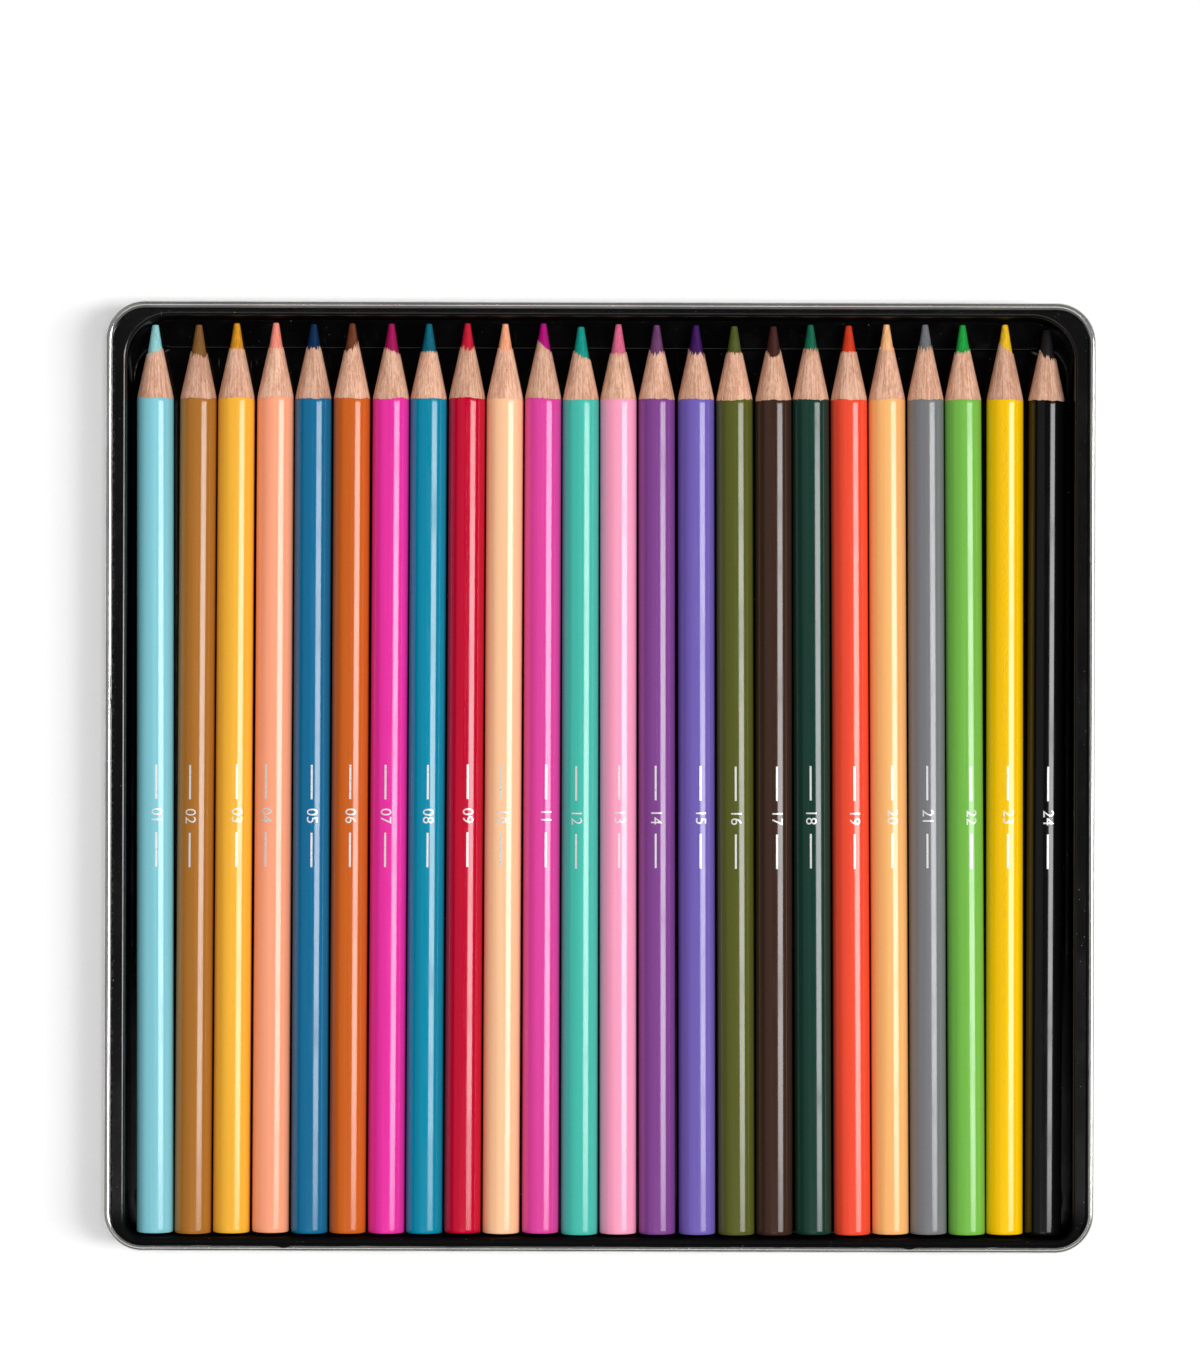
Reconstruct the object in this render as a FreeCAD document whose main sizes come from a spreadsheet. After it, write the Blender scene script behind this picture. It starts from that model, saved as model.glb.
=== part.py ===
"""Flat tin of round coloured pencils, lying side by side in a formed tray.

The origin is the middle of the underside. X runs across the pencils, Y along them towards
their points, and Z up. Lengths are in millimetres and angles in degrees.
"""

import FreeCAD
import Part
import Sketcher
import math
import os

# name, value, meaning
SIZES = (
    ("pencil_length", 175, "pencil from blunt end to point"),
    ("pencil_diameter", 7.1, "round barrel over the lacquer"),
    ("core_diameter", 3.2, "coloured core in the bore of the barrel"),
    ("cone_length", 14.2, "sharpened part, from the lacquer to the point"),
    ("point_diameter", 1.15, "flat at the point of the core"),
    ("end_bevel", 0.25, "broken edge round the blunt end"),
    ("groove_pitch", 7.43, "spacing of the pencils"),
    ("groove_radius", 5.2, "hollow of one cradle groove"),
    ("groove_depth", 1, "cradle grooves and bed below the floor of the well"),
    ("cradle_length", 55, "grooves along the blunt ends"),
    ("rest_gap", 0.1, "pencil above the bottom of its groove"),
    ("sway", 1.2, "most that a point leans sideways"),
    ("slip", 0.15, "most that a pencil lies off its place lengthwise"),
    ("wear", 0.9, "most that a point is worn back"),
    ("side_gap", 1.9, "outer pencil to the side of the well"),
    ("end_gap", 0.5, "blunt ends to the end of the well"),
    ("tip_gap", 1.1, "points to the end of the well"),
    ("bed_gap", 0.3, "outer pencil to the side of the bed"),
    ("ledge_length", 5.7, "shelf under the points"),
    ("tray_sheet", 0.4, "sheet that the tray is formed from"),
    ("tray_draft", 1.5, "lean of the well's walls"),
    ("end_corner_radius", 3, "well corners at the blunt ends"),
    ("tip_corner_radius", 5, "well corners at the points"),
    ("bed_corner_radius", 6, "bed corners at the points"),
    ("bed_relief_radius", 0.8, "bed corners at the cradle"),
    ("channel_width", 2, "hollow under the land between two grooves"),
    ("lip_radius", 0.25, "inside of the bend between flange and well"),
    ("flange_side", 2.1, "flange along the sides"),
    ("flange_end", 0.9, "flange across the ends"),
    ("flange_drop", 0.5, "flange below the top of the rim"),
    ("tray_gap", 0.2, "flange to the curled rim"),
    ("tin_height", 12, "box from its foot to the top of the rim"),
    ("tin_sheet", 0.3, "tinplate"),
    ("tin_corner_radius", 7.5, "box corners, outside"),
    ("foot_radius", 1.5, "bend between wall and underside"),
    ("bead_diameter", 1.35, "curled rim"),
    ("panel_inset", 7, "raised bottom panel in from the walls"),
    ("panel_rise", 0.5, "raised bottom panel above the foot"),
    ("panel_slope", 45, "lean of the panel's step"),
)

# colour, share of the sway at the point, share of the slip, share of the wear
PENCIL_SHARES = (
    ("sky_blue", -0.3, 0.2, 0.4),
    ("ochre", 1.0, -0.6, 0.2),
    ("golden_yellow", 0.9, 0.3, 0.0),
    ("salmon", 1.0, 1.0, 0.0),
    ("ocean_blue", 0.8, 0.0, 0.1),
    ("burnt_orange", 0.7, 0.3, 0.0),
    ("magenta", 0.8, 0.3, 0.0),
    ("teal", 0.6, 0.3, 0.0),
    ("crimson", 0.5, 1.0, 0.0),
    ("peach", 0.3, 0.4, 0.0),
    ("orchid", 0.3, 1.0, 0.0),
    ("mint", 0.1, -0.8, 0.4),
    ("pink", -0.1, 0.3, 0.0),
    ("purple", -0.2, 0.0, 0.1),
    ("violet", 0.0, -0.1, 0.1),
    ("olive", -0.3, -0.6, 0.2),
    ("dark_brown", -0.3, -0.6, 0.2),
    ("dark_green", -0.5, 0.3, 0.0),
    ("vermilion", -0.5, -0.1, 0.1),
    ("apricot", -0.7, 0.9, 0.0),
    ("grey", -0.7, 0.9, 0.0),
    ("leaf_green", -0.9, 0.4, 0.0),
    ("yellow", 0.0, 1.0, 0.0),
    ("black", 0.2, 0.3, 1.0),
)
COUNT = len(PENCIL_SHARES)

# Worked-out sizes, each written in the named ones.
PENCIL_RADIUS = "sizes.pencil_diameter / 2"
CORE_RADIUS = "sizes.core_diameter / 2"
POINT_RADIUS = "sizes.point_diameter / 2"
CONE_START = "(sizes.pencil_length - sizes.cone_length)"
CONE_RATIO = f"(({PENCIL_RADIUS} - {POINT_RADIUS}) / sizes.cone_length)"
CORE_EDGE = f"(sizes.pencil_length - ({CORE_RADIUS} - {POINT_RADIUS}) / {CONE_RATIO})"

ROW_WIDTH = f"({COUNT - 1} * sizes.groove_pitch + sizes.pencil_diameter)"
FIRST_X = f"(-{COUNT - 1} * sizes.groove_pitch / 2)"
WELL_WIDTH = f"({ROW_WIDTH} + 2 * sizes.side_gap)"
WELL_DEPTH = "(sizes.pencil_length + sizes.end_gap + sizes.tip_gap)"
FLANGE_WIDTH = f"({WELL_WIDTH} + 2 * sizes.flange_side)"
FLANGE_DEPTH = f"({WELL_DEPTH} + 2 * sizes.flange_end)"
RIM = "(sizes.tray_gap + sizes.bead_diameter)"
TIN_WIDTH = f"({FLANGE_WIDTH} + 2 * {RIM})"
TIN_DEPTH = f"({FLANGE_DEPTH} + 2 * {RIM})"

SEAT_Z = "(sizes.tin_sheet + sizes.panel_rise)"
GROOVE_Z = f"({SEAT_Z} + sizes.tray_sheet)"
LAND_Z = f"({GROOVE_Z} + sizes.groove_depth)"
PENCIL_Z = f"({GROOVE_Z} + sizes.rest_gap + {PENCIL_RADIUS})"
FLANGE_Z = "(sizes.tin_height - sizes.flange_drop)"
LIP_RADIUS = "(sizes.lip_radius + sizes.tray_sheet)"
WELL_FOOT = f"(({FLANGE_Z} - {LIP_RADIUS} - {SEAT_Z}) * tan(sizes.tray_draft))"
BLUNT_Y = f"(sizes.end_gap - {WELL_DEPTH} / 2)"
GROOVE_Y = f"({WELL_FOOT} - {WELL_DEPTH} / 2)"
CRADLE_Y = f"({GROOVE_Y} + sizes.cradle_length)"
STEP_Y = f"({WELL_DEPTH} / 2 - {WELL_FOOT} - sizes.ledge_length)"
CHANNEL_LENGTH = "(sizes.cradle_length - sizes.tray_sheet)"
LEDGE_RELIEF = "(sizes.ledge_length - sizes.tray_sheet)"

# Positions on a sketch element, and the sketch's own axes and origin.
LINE_START, LINE_END, CENTRE = range(1, 4)
X_AXIS, Y_AXIS = range(-1, -3, -1)
ORIGIN = (X_AXIS, LINE_START)
FULL_TURN = 360
RIGHT_ANGLE = math.pi / 2

doc = FreeCAD.newDocument("pencil_tin")
sheet = doc.addObject("Spreadsheet::Sheet", "sizes")
for row, (alias, value, meaning) in enumerate(SIZES, start=1):
    sheet.set(f"A{row}", alias)
    sheet.set(f"B{row}", str(value))
    sheet.set(f"C{row}", meaning)
    sheet.setAlias(f"B{row}", alias)
doc.recompute()


def size(expression):
    """Value of an expression over the named sizes."""
    return float(sheet.evalExpression(expression))


def origin_item(body, role):
    """Plane or axis of a body's own origin."""
    return next(item for item in body.Origin.OriginFeatures if item.Role == role)


def new_sketch(body, name, role, lift="0", shift="0"):
    """Sketch on a plane of the body's origin, lifted off it and shifted along its upright."""
    sketch = body.newObject("Sketcher::SketchObject", name)
    sketch.AttachmentSupport = [(origin_item(body, role), "")]
    sketch.MapMode = "FlatFace"
    sketch.setExpression("AttachmentOffset.Base.z", lift)
    sketch.setExpression("AttachmentOffset.Base.y", shift)
    return sketch


def bind(sketch, name, expression, kind, *where):
    """Named sketch dimension that follows an expression."""
    index = sketch.addConstraint(Sketcher.Constraint(kind, *where, size(expression)))
    sketch.renameConstraint(index, name)
    sketch.setExpression(f"Constraints.{name}", expression)


def rounded_rectangle(sketch, width, depth, low_radius, high_radius, prefix=""):
    """Centred rectangle with round corners, of one radius along its low edge and one along its high."""
    half_x = size(width) / 2
    half_y = size(depth) / 2
    low = size(low_radius)
    high = size(high_radius)
    corners = (
        (FreeCAD.Vector(half_x - high, half_y - high), high),
        (FreeCAD.Vector(high - half_x, half_y - high), high),
        (FreeCAD.Vector(low - half_x, low - half_y), low),
        (FreeCAD.Vector(half_x - low, low - half_y), low),
    )
    arcs = []
    for quarter, (centre, radius) in enumerate(corners):
        arcs.append(add_arc(sketch, centre, radius, quarter, quarter + 1))
    lines = []
    for first, second in zip(arcs, arcs[1:] + arcs[:1]):
        start = sketch.getPoint(first, LINE_END)
        end = sketch.getPoint(second, LINE_START)
        line = sketch.addGeometry(Part.LineSegment(start, end))
        sketch.addConstraint(Sketcher.Constraint("Tangent", first, LINE_END, line, LINE_START))
        sketch.addConstraint(Sketcher.Constraint("Tangent", line, LINE_END, second, LINE_START))
        lines.append(line)
    top, left, bottom, right = lines
    high_right, high_left, low_left, low_right = arcs
    for line, direction in ((right, "Vertical"), (left, "Vertical"), (bottom, "Horizontal")):
        sketch.addConstraint(Sketcher.Constraint(direction, line))
    sketch.addConstraint(Sketcher.Constraint("Equal", high_right, high_left))
    sketch.addConstraint(Sketcher.Constraint("Equal", low_right, low_left))
    sketch.addConstraint(Sketcher.Constraint("Symmetric", top, LINE_START, top, LINE_END, Y_AXIS))
    bind(sketch, f"{prefix}half_width", f"{width} / 2", "DistanceX", *ORIGIN, right, LINE_START)
    bind(sketch, f"{prefix}half_depth", f"{depth} / 2", "DistanceY", *ORIGIN, top, LINE_START)
    bind(sketch, f"{prefix}depth", depth, "DistanceY", bottom, LINE_START, top, LINE_START)
    bind(sketch, f"{prefix}low_radius", low_radius, "Radius", low_right)
    bind(sketch, f"{prefix}high_radius", high_radius, "Radius", high_right)


def polygon(sketch, corners):
    """Closed outline through corners in the first quadrant, each an (x, y) pair of expressions."""
    places = [FreeCAD.Vector(size(x), size(y)) for x, y in corners]
    lines = []
    for start, end in zip(places, places[1:] + places[:1]):
        lines.append(sketch.addGeometry(Part.LineSegment(start, end)))
    for line, following in zip(lines, lines[1:] + lines[:1]):
        sketch.addConstraint(Sketcher.Constraint("Coincident", line, LINE_END, following, LINE_START))
    for line, (x, y) in zip(lines, corners):
        if x == "0":
            sketch.addConstraint(Sketcher.Constraint("PointOnObject", line, LINE_START, Y_AXIS))
        else:
            bind(sketch, f"across_{line}", x, "DistanceX", *ORIGIN, line, LINE_START)
        if y == "0":
            sketch.addConstraint(Sketcher.Constraint("PointOnObject", line, LINE_START, X_AXIS))
        else:
            bind(sketch, f"along_{line}", y, "DistanceY", *ORIGIN, line, LINE_START)


def add_feature(body, kind, name, profile, length, taper=None, reverse=False):
    """Pad or Pocket of a sketch."""
    feature = body.newObject(f"PartDesign::{kind}", name)
    feature.Profile = profile
    feature.setExpression("Length", length)
    if taper:
        feature.setExpression("TaperAngle", taper)
    feature.Reversed = reverse
    profile.Visibility = False
    return feature


def add_row(body, name, feature, count, length):
    """Repeat of a feature along X."""
    pattern = body.newObject("PartDesign::LinearPattern", name)
    pattern.Originals = [feature]
    pattern.Direction = (origin_item(body, "X_Axis"), [""])
    pattern.Occurrences = count
    pattern.setExpression("Length", length)
    body.Tip = pattern
    return pattern


def new_body(name):
    """Empty body with its plain name."""
    body = doc.addObject("PartDesign::Body", name)
    body.Label = name
    return body


def add_arc(sketch, centre, radius, first, last):
    """Arc between two angles, given in right angles."""
    circle = Part.Circle(centre, FreeCAD.Vector(0, 0, 1), radius)
    return sketch.addGeometry(Part.ArcOfCircle(circle, first * RIGHT_ANGLE, last * RIGHT_ANGLE))


def add_bend(sketch, centre, outer, inner, first, last, level, upright):
    """Two arcs about one centre, with one end level with it and the other plumb with it."""
    arcs = [add_arc(sketch, centre, radius, first, last) for radius in (outer, inner)]
    sketch.addConstraint(Sketcher.Constraint("Coincident", arcs[0], CENTRE, arcs[1], CENTRE))
    for arc in arcs:
        sketch.addConstraint(Sketcher.Constraint("Horizontal", arc, level, arc, CENTRE))
        sketch.addConstraint(Sketcher.Constraint("Vertical", arc, upright, arc, CENTRE))
    return arcs


def add_joint(sketch, first, first_end, second, second_end):
    """Line from the end of one element to the end of another."""
    start = sketch.getPoint(first, first_end)
    end = sketch.getPoint(second, second_end)
    line = sketch.addGeometry(Part.LineSegment(start, end))
    sketch.addConstraint(Sketcher.Constraint("Coincident", first, first_end, line, LINE_START))
    sketch.addConstraint(Sketcher.Constraint("Coincident", second, second_end, line, LINE_END))
    return line


def tin_section(sketch):
    """Bend, wall and three-quarter curl of the tinplate, cut through the right-hand side."""
    outside = f"{TIN_WIDTH} / 2"
    curl_height = "sizes.tin_height - sizes.bead_diameter / 2"
    bend = size("sizes.foot_radius")
    curl = size("sizes.bead_diameter / 2")
    gauge = size("sizes.tin_sheet")
    bend_centre = FreeCAD.Vector(size(outside) - bend, bend)
    curl_centre = FreeCAD.Vector(size(outside) - curl, size(curl_height))
    outer_bend, inner_bend = add_bend(sketch, bend_centre, bend, bend - gauge, 3, 4, LINE_END, LINE_START)
    outer_curl, inner_curl = add_bend(sketch, curl_centre, curl, curl - gauge, 0, 3, LINE_START, LINE_END)
    outer_wall = add_joint(sketch, outer_bend, LINE_END, outer_curl, LINE_START)
    inner_wall = add_joint(sketch, inner_bend, LINE_END, inner_curl, LINE_START)
    add_joint(sketch, outer_curl, LINE_END, inner_curl, LINE_END)
    add_joint(sketch, outer_bend, LINE_START, inner_bend, LINE_START)
    for wall in (outer_wall, inner_wall):
        sketch.addConstraint(Sketcher.Constraint("Vertical", wall))
    sketch.addConstraint(Sketcher.Constraint("PointOnObject", outer_bend, LINE_START, X_AXIS))
    bind(sketch, "outside", outside, "DistanceX", *ORIGIN, outer_wall, LINE_START)
    bind(sketch, "gauge", "sizes.tin_sheet", "DistanceX", inner_wall, LINE_START, outer_wall, LINE_START)
    bind(sketch, "bend", "sizes.foot_radius", "Radius", outer_bend)
    bind(sketch, "curl", "sizes.bead_diameter / 2", "Radius", outer_curl)
    bind(sketch, "curl_height", curl_height, "DistanceY", *ORIGIN, outer_curl, CENTRE)


def tray_section(sketch):
    """Rounded lip and drafted wall of the tray, cut through the right-hand side."""
    lip_across = f"{WELL_WIDTH} / 2 + {LIP_RADIUS}"
    lip_height = f"{FLANGE_Z} - {LIP_RADIUS}"
    foot_across = f"{WELL_WIDTH} / 2 - {WELL_FOOT}"
    lip_centre = FreeCAD.Vector(size(lip_across), size(lip_height))
    outer, inner = add_bend(
        sketch, lip_centre, size(LIP_RADIUS), size("sizes.lip_radius"), 1, 2, LINE_END, LINE_START
    )
    add_joint(sketch, inner, LINE_START, outer, LINE_START)
    foot_start = FreeCAD.Vector(size(foot_across), size(SEAT_Z))
    foot_end = foot_start + FreeCAD.Vector(size("sizes.tray_sheet"), 0)
    foot = sketch.addGeometry(Part.LineSegment(foot_start, foot_end))
    sketch.addConstraint(Sketcher.Constraint("Horizontal", foot))
    add_joint(sketch, outer, LINE_END, foot, LINE_START)
    add_joint(sketch, foot, LINE_END, inner, LINE_END)
    bind(sketch, "lip_across", lip_across, "DistanceX", *ORIGIN, outer, CENTRE)
    bind(sketch, "lip_height", lip_height, "DistanceY", *ORIGIN, outer, CENTRE)
    bind(sketch, "lip", LIP_RADIUS, "Radius", outer)
    bind(sketch, "lip_inside", "sizes.lip_radius", "Radius", inner)
    bind(sketch, "foot_across", foot_across, "DistanceX", *ORIGIN, foot, LINE_START)
    bind(sketch, "foot_height", SEAT_Z, "DistanceY", *ORIGIN, foot, LINE_START)
    bind(sketch, "gauge", "sizes.tray_sheet", "DistanceX", foot, LINE_START, foot, LINE_END)


def add_sweep(body, name, section, outline):
    """Section carried round an outline."""
    sweep = body.newObject("PartDesign::AdditivePipe", name)
    sweep.Profile = section
    sweep.Spine = outline
    return sweep


def make_tin():
    """Drawn tinplate box with a curled rim and a raised panel in its bottom."""
    body = new_body("tin_box")
    outline = new_sketch(body, "tin_outline", "XY_Plane")
    rounded_rectangle(outline, TIN_WIDTH, TIN_DEPTH, "sizes.tin_corner_radius", "sizes.tin_corner_radius")
    section = new_sketch(body, "tin_section", "XZ_Plane")
    tin_section(section)
    add_sweep(body, "tin_wall", section, outline)
    floor_corner = "(sizes.tin_corner_radius - sizes.foot_radius)"
    floor = new_sketch(body, "tin_floor_outline", "XY_Plane")
    rounded_rectangle(
        floor,
        f"({TIN_WIDTH} - 2 * sizes.foot_radius)",
        f"({TIN_DEPTH} - 2 * sizes.foot_radius)",
        floor_corner,
        floor_corner,
    )
    add_feature(body, "Pad", "tin_floor", floor, "sizes.tin_sheet")
    panel_size = (
        f"({TIN_WIDTH} - 2 * sizes.panel_inset)",
        f"({TIN_DEPTH} - 2 * sizes.panel_inset)",
        "sizes.tin_corner_radius",
        "sizes.tin_corner_radius",
    )
    raised = new_sketch(body, "tin_panel_outline", "XY_Plane", lift="sizes.tin_sheet")
    rounded_rectangle(raised, *panel_size)
    add_feature(body, "Pad", "tin_panel", raised, "sizes.panel_rise", taper="-sizes.panel_slope")
    hollow = new_sketch(body, "tin_panel_hollow_outline", "XY_Plane")
    rounded_rectangle(hollow, *panel_size)
    body.Tip = add_feature(
        body,
        "Pocket",
        "tin_panel_hollow",
        hollow,
        "sizes.panel_rise",
        taper="-sizes.panel_slope",
        reverse=True,
    )
    return body


def make_tray():
    """Formed tray: flange, drafted well, ledge under the points, bed and cradle grooves."""
    body = new_body("pencil_tray")
    mouth = new_sketch(body, "tray_mouth_outline", "XY_Plane", lift=FLANGE_Z)
    rounded_rectangle(mouth, WELL_WIDTH, WELL_DEPTH, "sizes.end_corner_radius", "sizes.tip_corner_radius")
    section = new_sketch(body, "tray_section", "XZ_Plane")
    tray_section(section)
    add_sweep(body, "tray_wall", section, mouth)

    flange = new_sketch(body, "tray_flange_outline", "XY_Plane", lift=FLANGE_Z)
    flange_corner = f"(sizes.tin_corner_radius - {RIM})"
    rounded_rectangle(flange, FLANGE_WIDTH, FLANGE_DEPTH, flange_corner, flange_corner)
    rounded_rectangle(
        flange,
        f"({WELL_WIDTH} + 2 * {LIP_RADIUS})",
        f"({WELL_DEPTH} + 2 * {LIP_RADIUS})",
        f"(sizes.end_corner_radius + {LIP_RADIUS})",
        f"(sizes.tip_corner_radius + {LIP_RADIUS})",
        prefix="inner_",
    )
    add_feature(body, "Pad", "tray_flange", flange, "sizes.tray_sheet", reverse=True)

    floor = new_sketch(body, "tray_floor_outline", "XY_Plane", lift=SEAT_Z)
    into_wall = f"(sizes.tray_sheet / 2 - {WELL_FOOT})"
    rounded_rectangle(
        floor,
        f"({WELL_WIDTH} + 2 * {into_wall})",
        f"({WELL_DEPTH} + 2 * {into_wall})",
        f"(sizes.end_corner_radius + {into_wall})",
        f"(sizes.tip_corner_radius + {into_wall})",
    )
    add_feature(body, "Pad", "tray_floor", floor, f"{LAND_Z} - {SEAT_Z}")

    bed = new_sketch(body, "tray_bed_outline", "XY_Plane", lift=LAND_Z, shift=f"({STEP_Y} + {CRADLE_Y}) / 2")
    rounded_rectangle(
        bed,
        f"({ROW_WIDTH} + 2 * sizes.bed_gap)",
        f"({STEP_Y} - {CRADLE_Y})",
        "sizes.bed_relief_radius",
        "sizes.bed_corner_radius",
    )
    add_feature(body, "Pocket", "tray_bed", bed, "sizes.groove_depth")

    groove = new_sketch(body, "tray_groove_section", "XZ_Plane", lift=f"-{CRADLE_Y}")
    circle = Part.Circle(
        FreeCAD.Vector(size(FIRST_X), size(f"{GROOVE_Z} + sizes.groove_radius")),
        FreeCAD.Vector(0, 0, 1),
        size("sizes.groove_radius"),
    )
    hollow = groove.addGeometry(circle)
    bind(groove, "first_place", f"-{FIRST_X}", "DistanceX", hollow, CENTRE, *ORIGIN)
    bind(groove, "centre_height", f"{GROOVE_Z} + sizes.groove_radius", "DistanceY", *ORIGIN, hollow, CENTRE)
    bind(groove, "hollow", "sizes.groove_radius", "Radius", hollow)
    groove_cut = add_feature(body, "Pocket", "tray_groove", groove, "sizes.cradle_length", reverse=True)
    add_row(body, "tray_grooves", groove_cut, COUNT, f"{COUNT - 1} * sizes.groove_pitch")

    channel = new_sketch(
        body, "tray_channel_outline", "XY_Plane", lift=SEAT_Z, shift=f"{GROOVE_Y} + {CHANNEL_LENGTH} / 2"
    )
    narrow_slot(channel, f"-({FIRST_X} + sizes.groove_pitch / 2)", "sizes.channel_width", CHANNEL_LENGTH)
    channel_cut = add_feature(body, "Pocket", "tray_channel", channel, "sizes.groove_depth", reverse=True)
    add_row(body, "tray_channels", channel_cut, COUNT - 1, f"{COUNT - 2} * sizes.groove_pitch")

    relief = new_sketch(
        body,
        "tray_ledge_relief_outline",
        "XY_Plane",
        lift=SEAT_Z,
        shift=f"{STEP_Y} + sizes.tray_sheet + {LEDGE_RELIEF} / 2",
    )
    rounded_rectangle(
        relief,
        f"({WELL_WIDTH} - 2 * sizes.tip_corner_radius)",
        LEDGE_RELIEF,
        "sizes.bed_relief_radius",
        "sizes.bed_relief_radius",
    )
    body.Tip = add_feature(body, "Pocket", "tray_ledge_relief", relief, "sizes.groove_depth", reverse=True)
    return body


def narrow_slot(sketch, reach, width, depth):
    """Rectangle centred a given reach to the left of the origin."""
    left = -size(reach) - size(width) / 2
    right = left + size(width)
    low = -size(depth) / 2
    high = -low
    corners = [
        FreeCAD.Vector(left, low),
        FreeCAD.Vector(right, low),
        FreeCAD.Vector(right, high),
        FreeCAD.Vector(left, high),
    ]
    lines = []
    for start, end in zip(corners, corners[1:] + corners[:1]):
        lines.append(sketch.addGeometry(Part.LineSegment(start, end)))
    for line, following in zip(lines, lines[1:] + lines[:1]):
        sketch.addConstraint(Sketcher.Constraint("Coincident", line, LINE_END, following, LINE_START))
    bottom, right_side, top, left_side = lines
    for line, direction in ((bottom, "Horizontal"), (top, "Horizontal"), (left_side, "Vertical")):
        sketch.addConstraint(Sketcher.Constraint(direction, line))
    mirrored_ends = (right_side, LINE_START, right_side, LINE_END, X_AXIS)
    sketch.addConstraint(Sketcher.Constraint("Symmetric", *mirrored_ends))
    bind(sketch, "near_side", f"{reach} - {width} / 2", "DistanceX", right_side, LINE_START, *ORIGIN)
    bind(sketch, "width", width, "DistanceX", bottom, LINE_START, bottom, LINE_END)
    bind(sketch, "depth", depth, "DistanceY", right_side, LINE_START, right_side, LINE_END)


def make_turned(name, corners, index, sway_share, slip_share):
    """Turned piece of one pencil, laid in its place in the row."""
    body = new_body(name)
    profile = new_sketch(body, f"{name}_profile", "XY_Plane")
    polygon(profile, corners)
    turn = body.newObject("PartDesign::Revolution", f"{name}_turn")
    turn.Profile = profile
    turn.ReferenceAxis = (profile, ["V_Axis"])
    turn.Angle = FULL_TURN
    profile.Visibility = False
    body.Tip = turn
    body.setExpression("Placement.Base.x", f"{FIRST_X} + {index} * sizes.groove_pitch")
    body.setExpression("Placement.Base.y", f"{BLUNT_Y} + {slip_share} * sizes.slip")
    body.setExpression("Placement.Base.z", PENCIL_Z)
    body.setExpression("Placement.Rotation.Angle", f"-atan({sway_share} * sizes.sway / sizes.pencil_length)")
    return body


def make_pencil(index, colour, sway_share, slip_share, wear_share):
    """Lacquered wooden barrel and the core glued into its bore."""
    point_y = f"sizes.pencil_length - {wear_share} * sizes.wear"
    point_radius = f"{POINT_RADIUS} + {wear_share} * sizes.wear * {CONE_RATIO}"
    barrel = (
        (CORE_RADIUS, "0"),
        (f"{PENCIL_RADIUS} - sizes.end_bevel", "0"),
        (PENCIL_RADIUS, "sizes.end_bevel"),
        (PENCIL_RADIUS, CONE_START),
        (CORE_RADIUS, CORE_EDGE),
    )
    core = (
        ("0", "0"),
        (CORE_RADIUS, "0"),
        (CORE_RADIUS, CORE_EDGE),
        (point_radius, point_y),
        ("0", point_y),
    )
    return [
        make_turned(f"{colour}_barrel", barrel, index, sway_share, slip_share),
        make_turned(f"{colour}_core", core, index, sway_share, slip_share),
    ]


pieces = [make_tin(), make_tray()]
for index, (colour, sway_share, slip_share, wear_share) in enumerate(PENCIL_SHARES):
    pieces.extend(make_pencil(index, colour, sway_share, slip_share, wear_share))
doc.recompute()

for item in doc.Objects:
    if "Invalid" in item.State or "Error" in item.State:
        raise RuntimeError(f"{item.Label} did not build: {item.State}")
for piece in pieces:
    if piece.Shape.isNull() or not piece.Shape.isValid() or len(piece.Shape.Solids) != 1:
        raise RuntimeError(f"{piece.Label} is not one sound solid")

os.makedirs("parts", exist_ok=True)
for piece in pieces:
    piece.Shape.exportStep(f"parts/{piece.Label}.step")
    print(f"{piece.Label}: {piece.Shape.Volume:.1f} mm3")
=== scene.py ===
"""Looks of a flat tin of coloured pencils: the drawn tin, its formed tray and one row of pencils."""

from __future__ import annotations

import logging
import math
from dataclasses import dataclass, field
from enum import Enum
from typing import Any, Iterable, Sequence

import bmesh
import bpy
from mathutils import Matrix, Vector, noise


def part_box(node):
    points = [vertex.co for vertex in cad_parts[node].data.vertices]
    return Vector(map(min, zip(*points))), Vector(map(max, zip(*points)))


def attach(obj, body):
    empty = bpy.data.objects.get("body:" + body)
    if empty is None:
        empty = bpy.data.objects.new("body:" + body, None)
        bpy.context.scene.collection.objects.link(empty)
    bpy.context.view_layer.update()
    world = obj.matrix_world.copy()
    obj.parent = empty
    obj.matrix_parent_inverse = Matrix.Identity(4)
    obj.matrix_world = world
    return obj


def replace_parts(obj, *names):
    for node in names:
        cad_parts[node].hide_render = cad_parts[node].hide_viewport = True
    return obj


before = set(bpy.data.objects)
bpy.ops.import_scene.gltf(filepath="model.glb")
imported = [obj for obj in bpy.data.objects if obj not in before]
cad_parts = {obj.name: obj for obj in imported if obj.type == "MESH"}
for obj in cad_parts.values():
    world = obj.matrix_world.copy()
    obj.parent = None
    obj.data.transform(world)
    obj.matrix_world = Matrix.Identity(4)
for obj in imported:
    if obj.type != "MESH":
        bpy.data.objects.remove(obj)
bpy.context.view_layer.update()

LOG = logging.getLogger("pencil_tin")
MM = 0.001
SHARP_EDGE = math.radians(38.0)
MERGE_REACH = 0.004
ROW_DIGITS = 5

Colour = tuple[float, float, float]
Point = tuple[float, float]


def linear(colour: Colour, gain: float = 1.0) -> tuple[float, float, float, float]:
    """Turn a display colour of 0 to 255 into the linear colour that a shader takes.

    Args:
        colour: Red, green and blue as they look on a screen.
        gain: Factor on the linear colour.

    Returns:
        Linear red, green and blue, with full alpha.
    """
    parts = []
    for level in colour:
        share = level / 255.0
        part = share / 12.92 if share <= 0.04045 else ((share + 0.055) / 1.055) ** 2.4
        parts.append(min(part * gain, 1.0))
    return parts[0], parts[1], parts[2], 1.0


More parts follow.
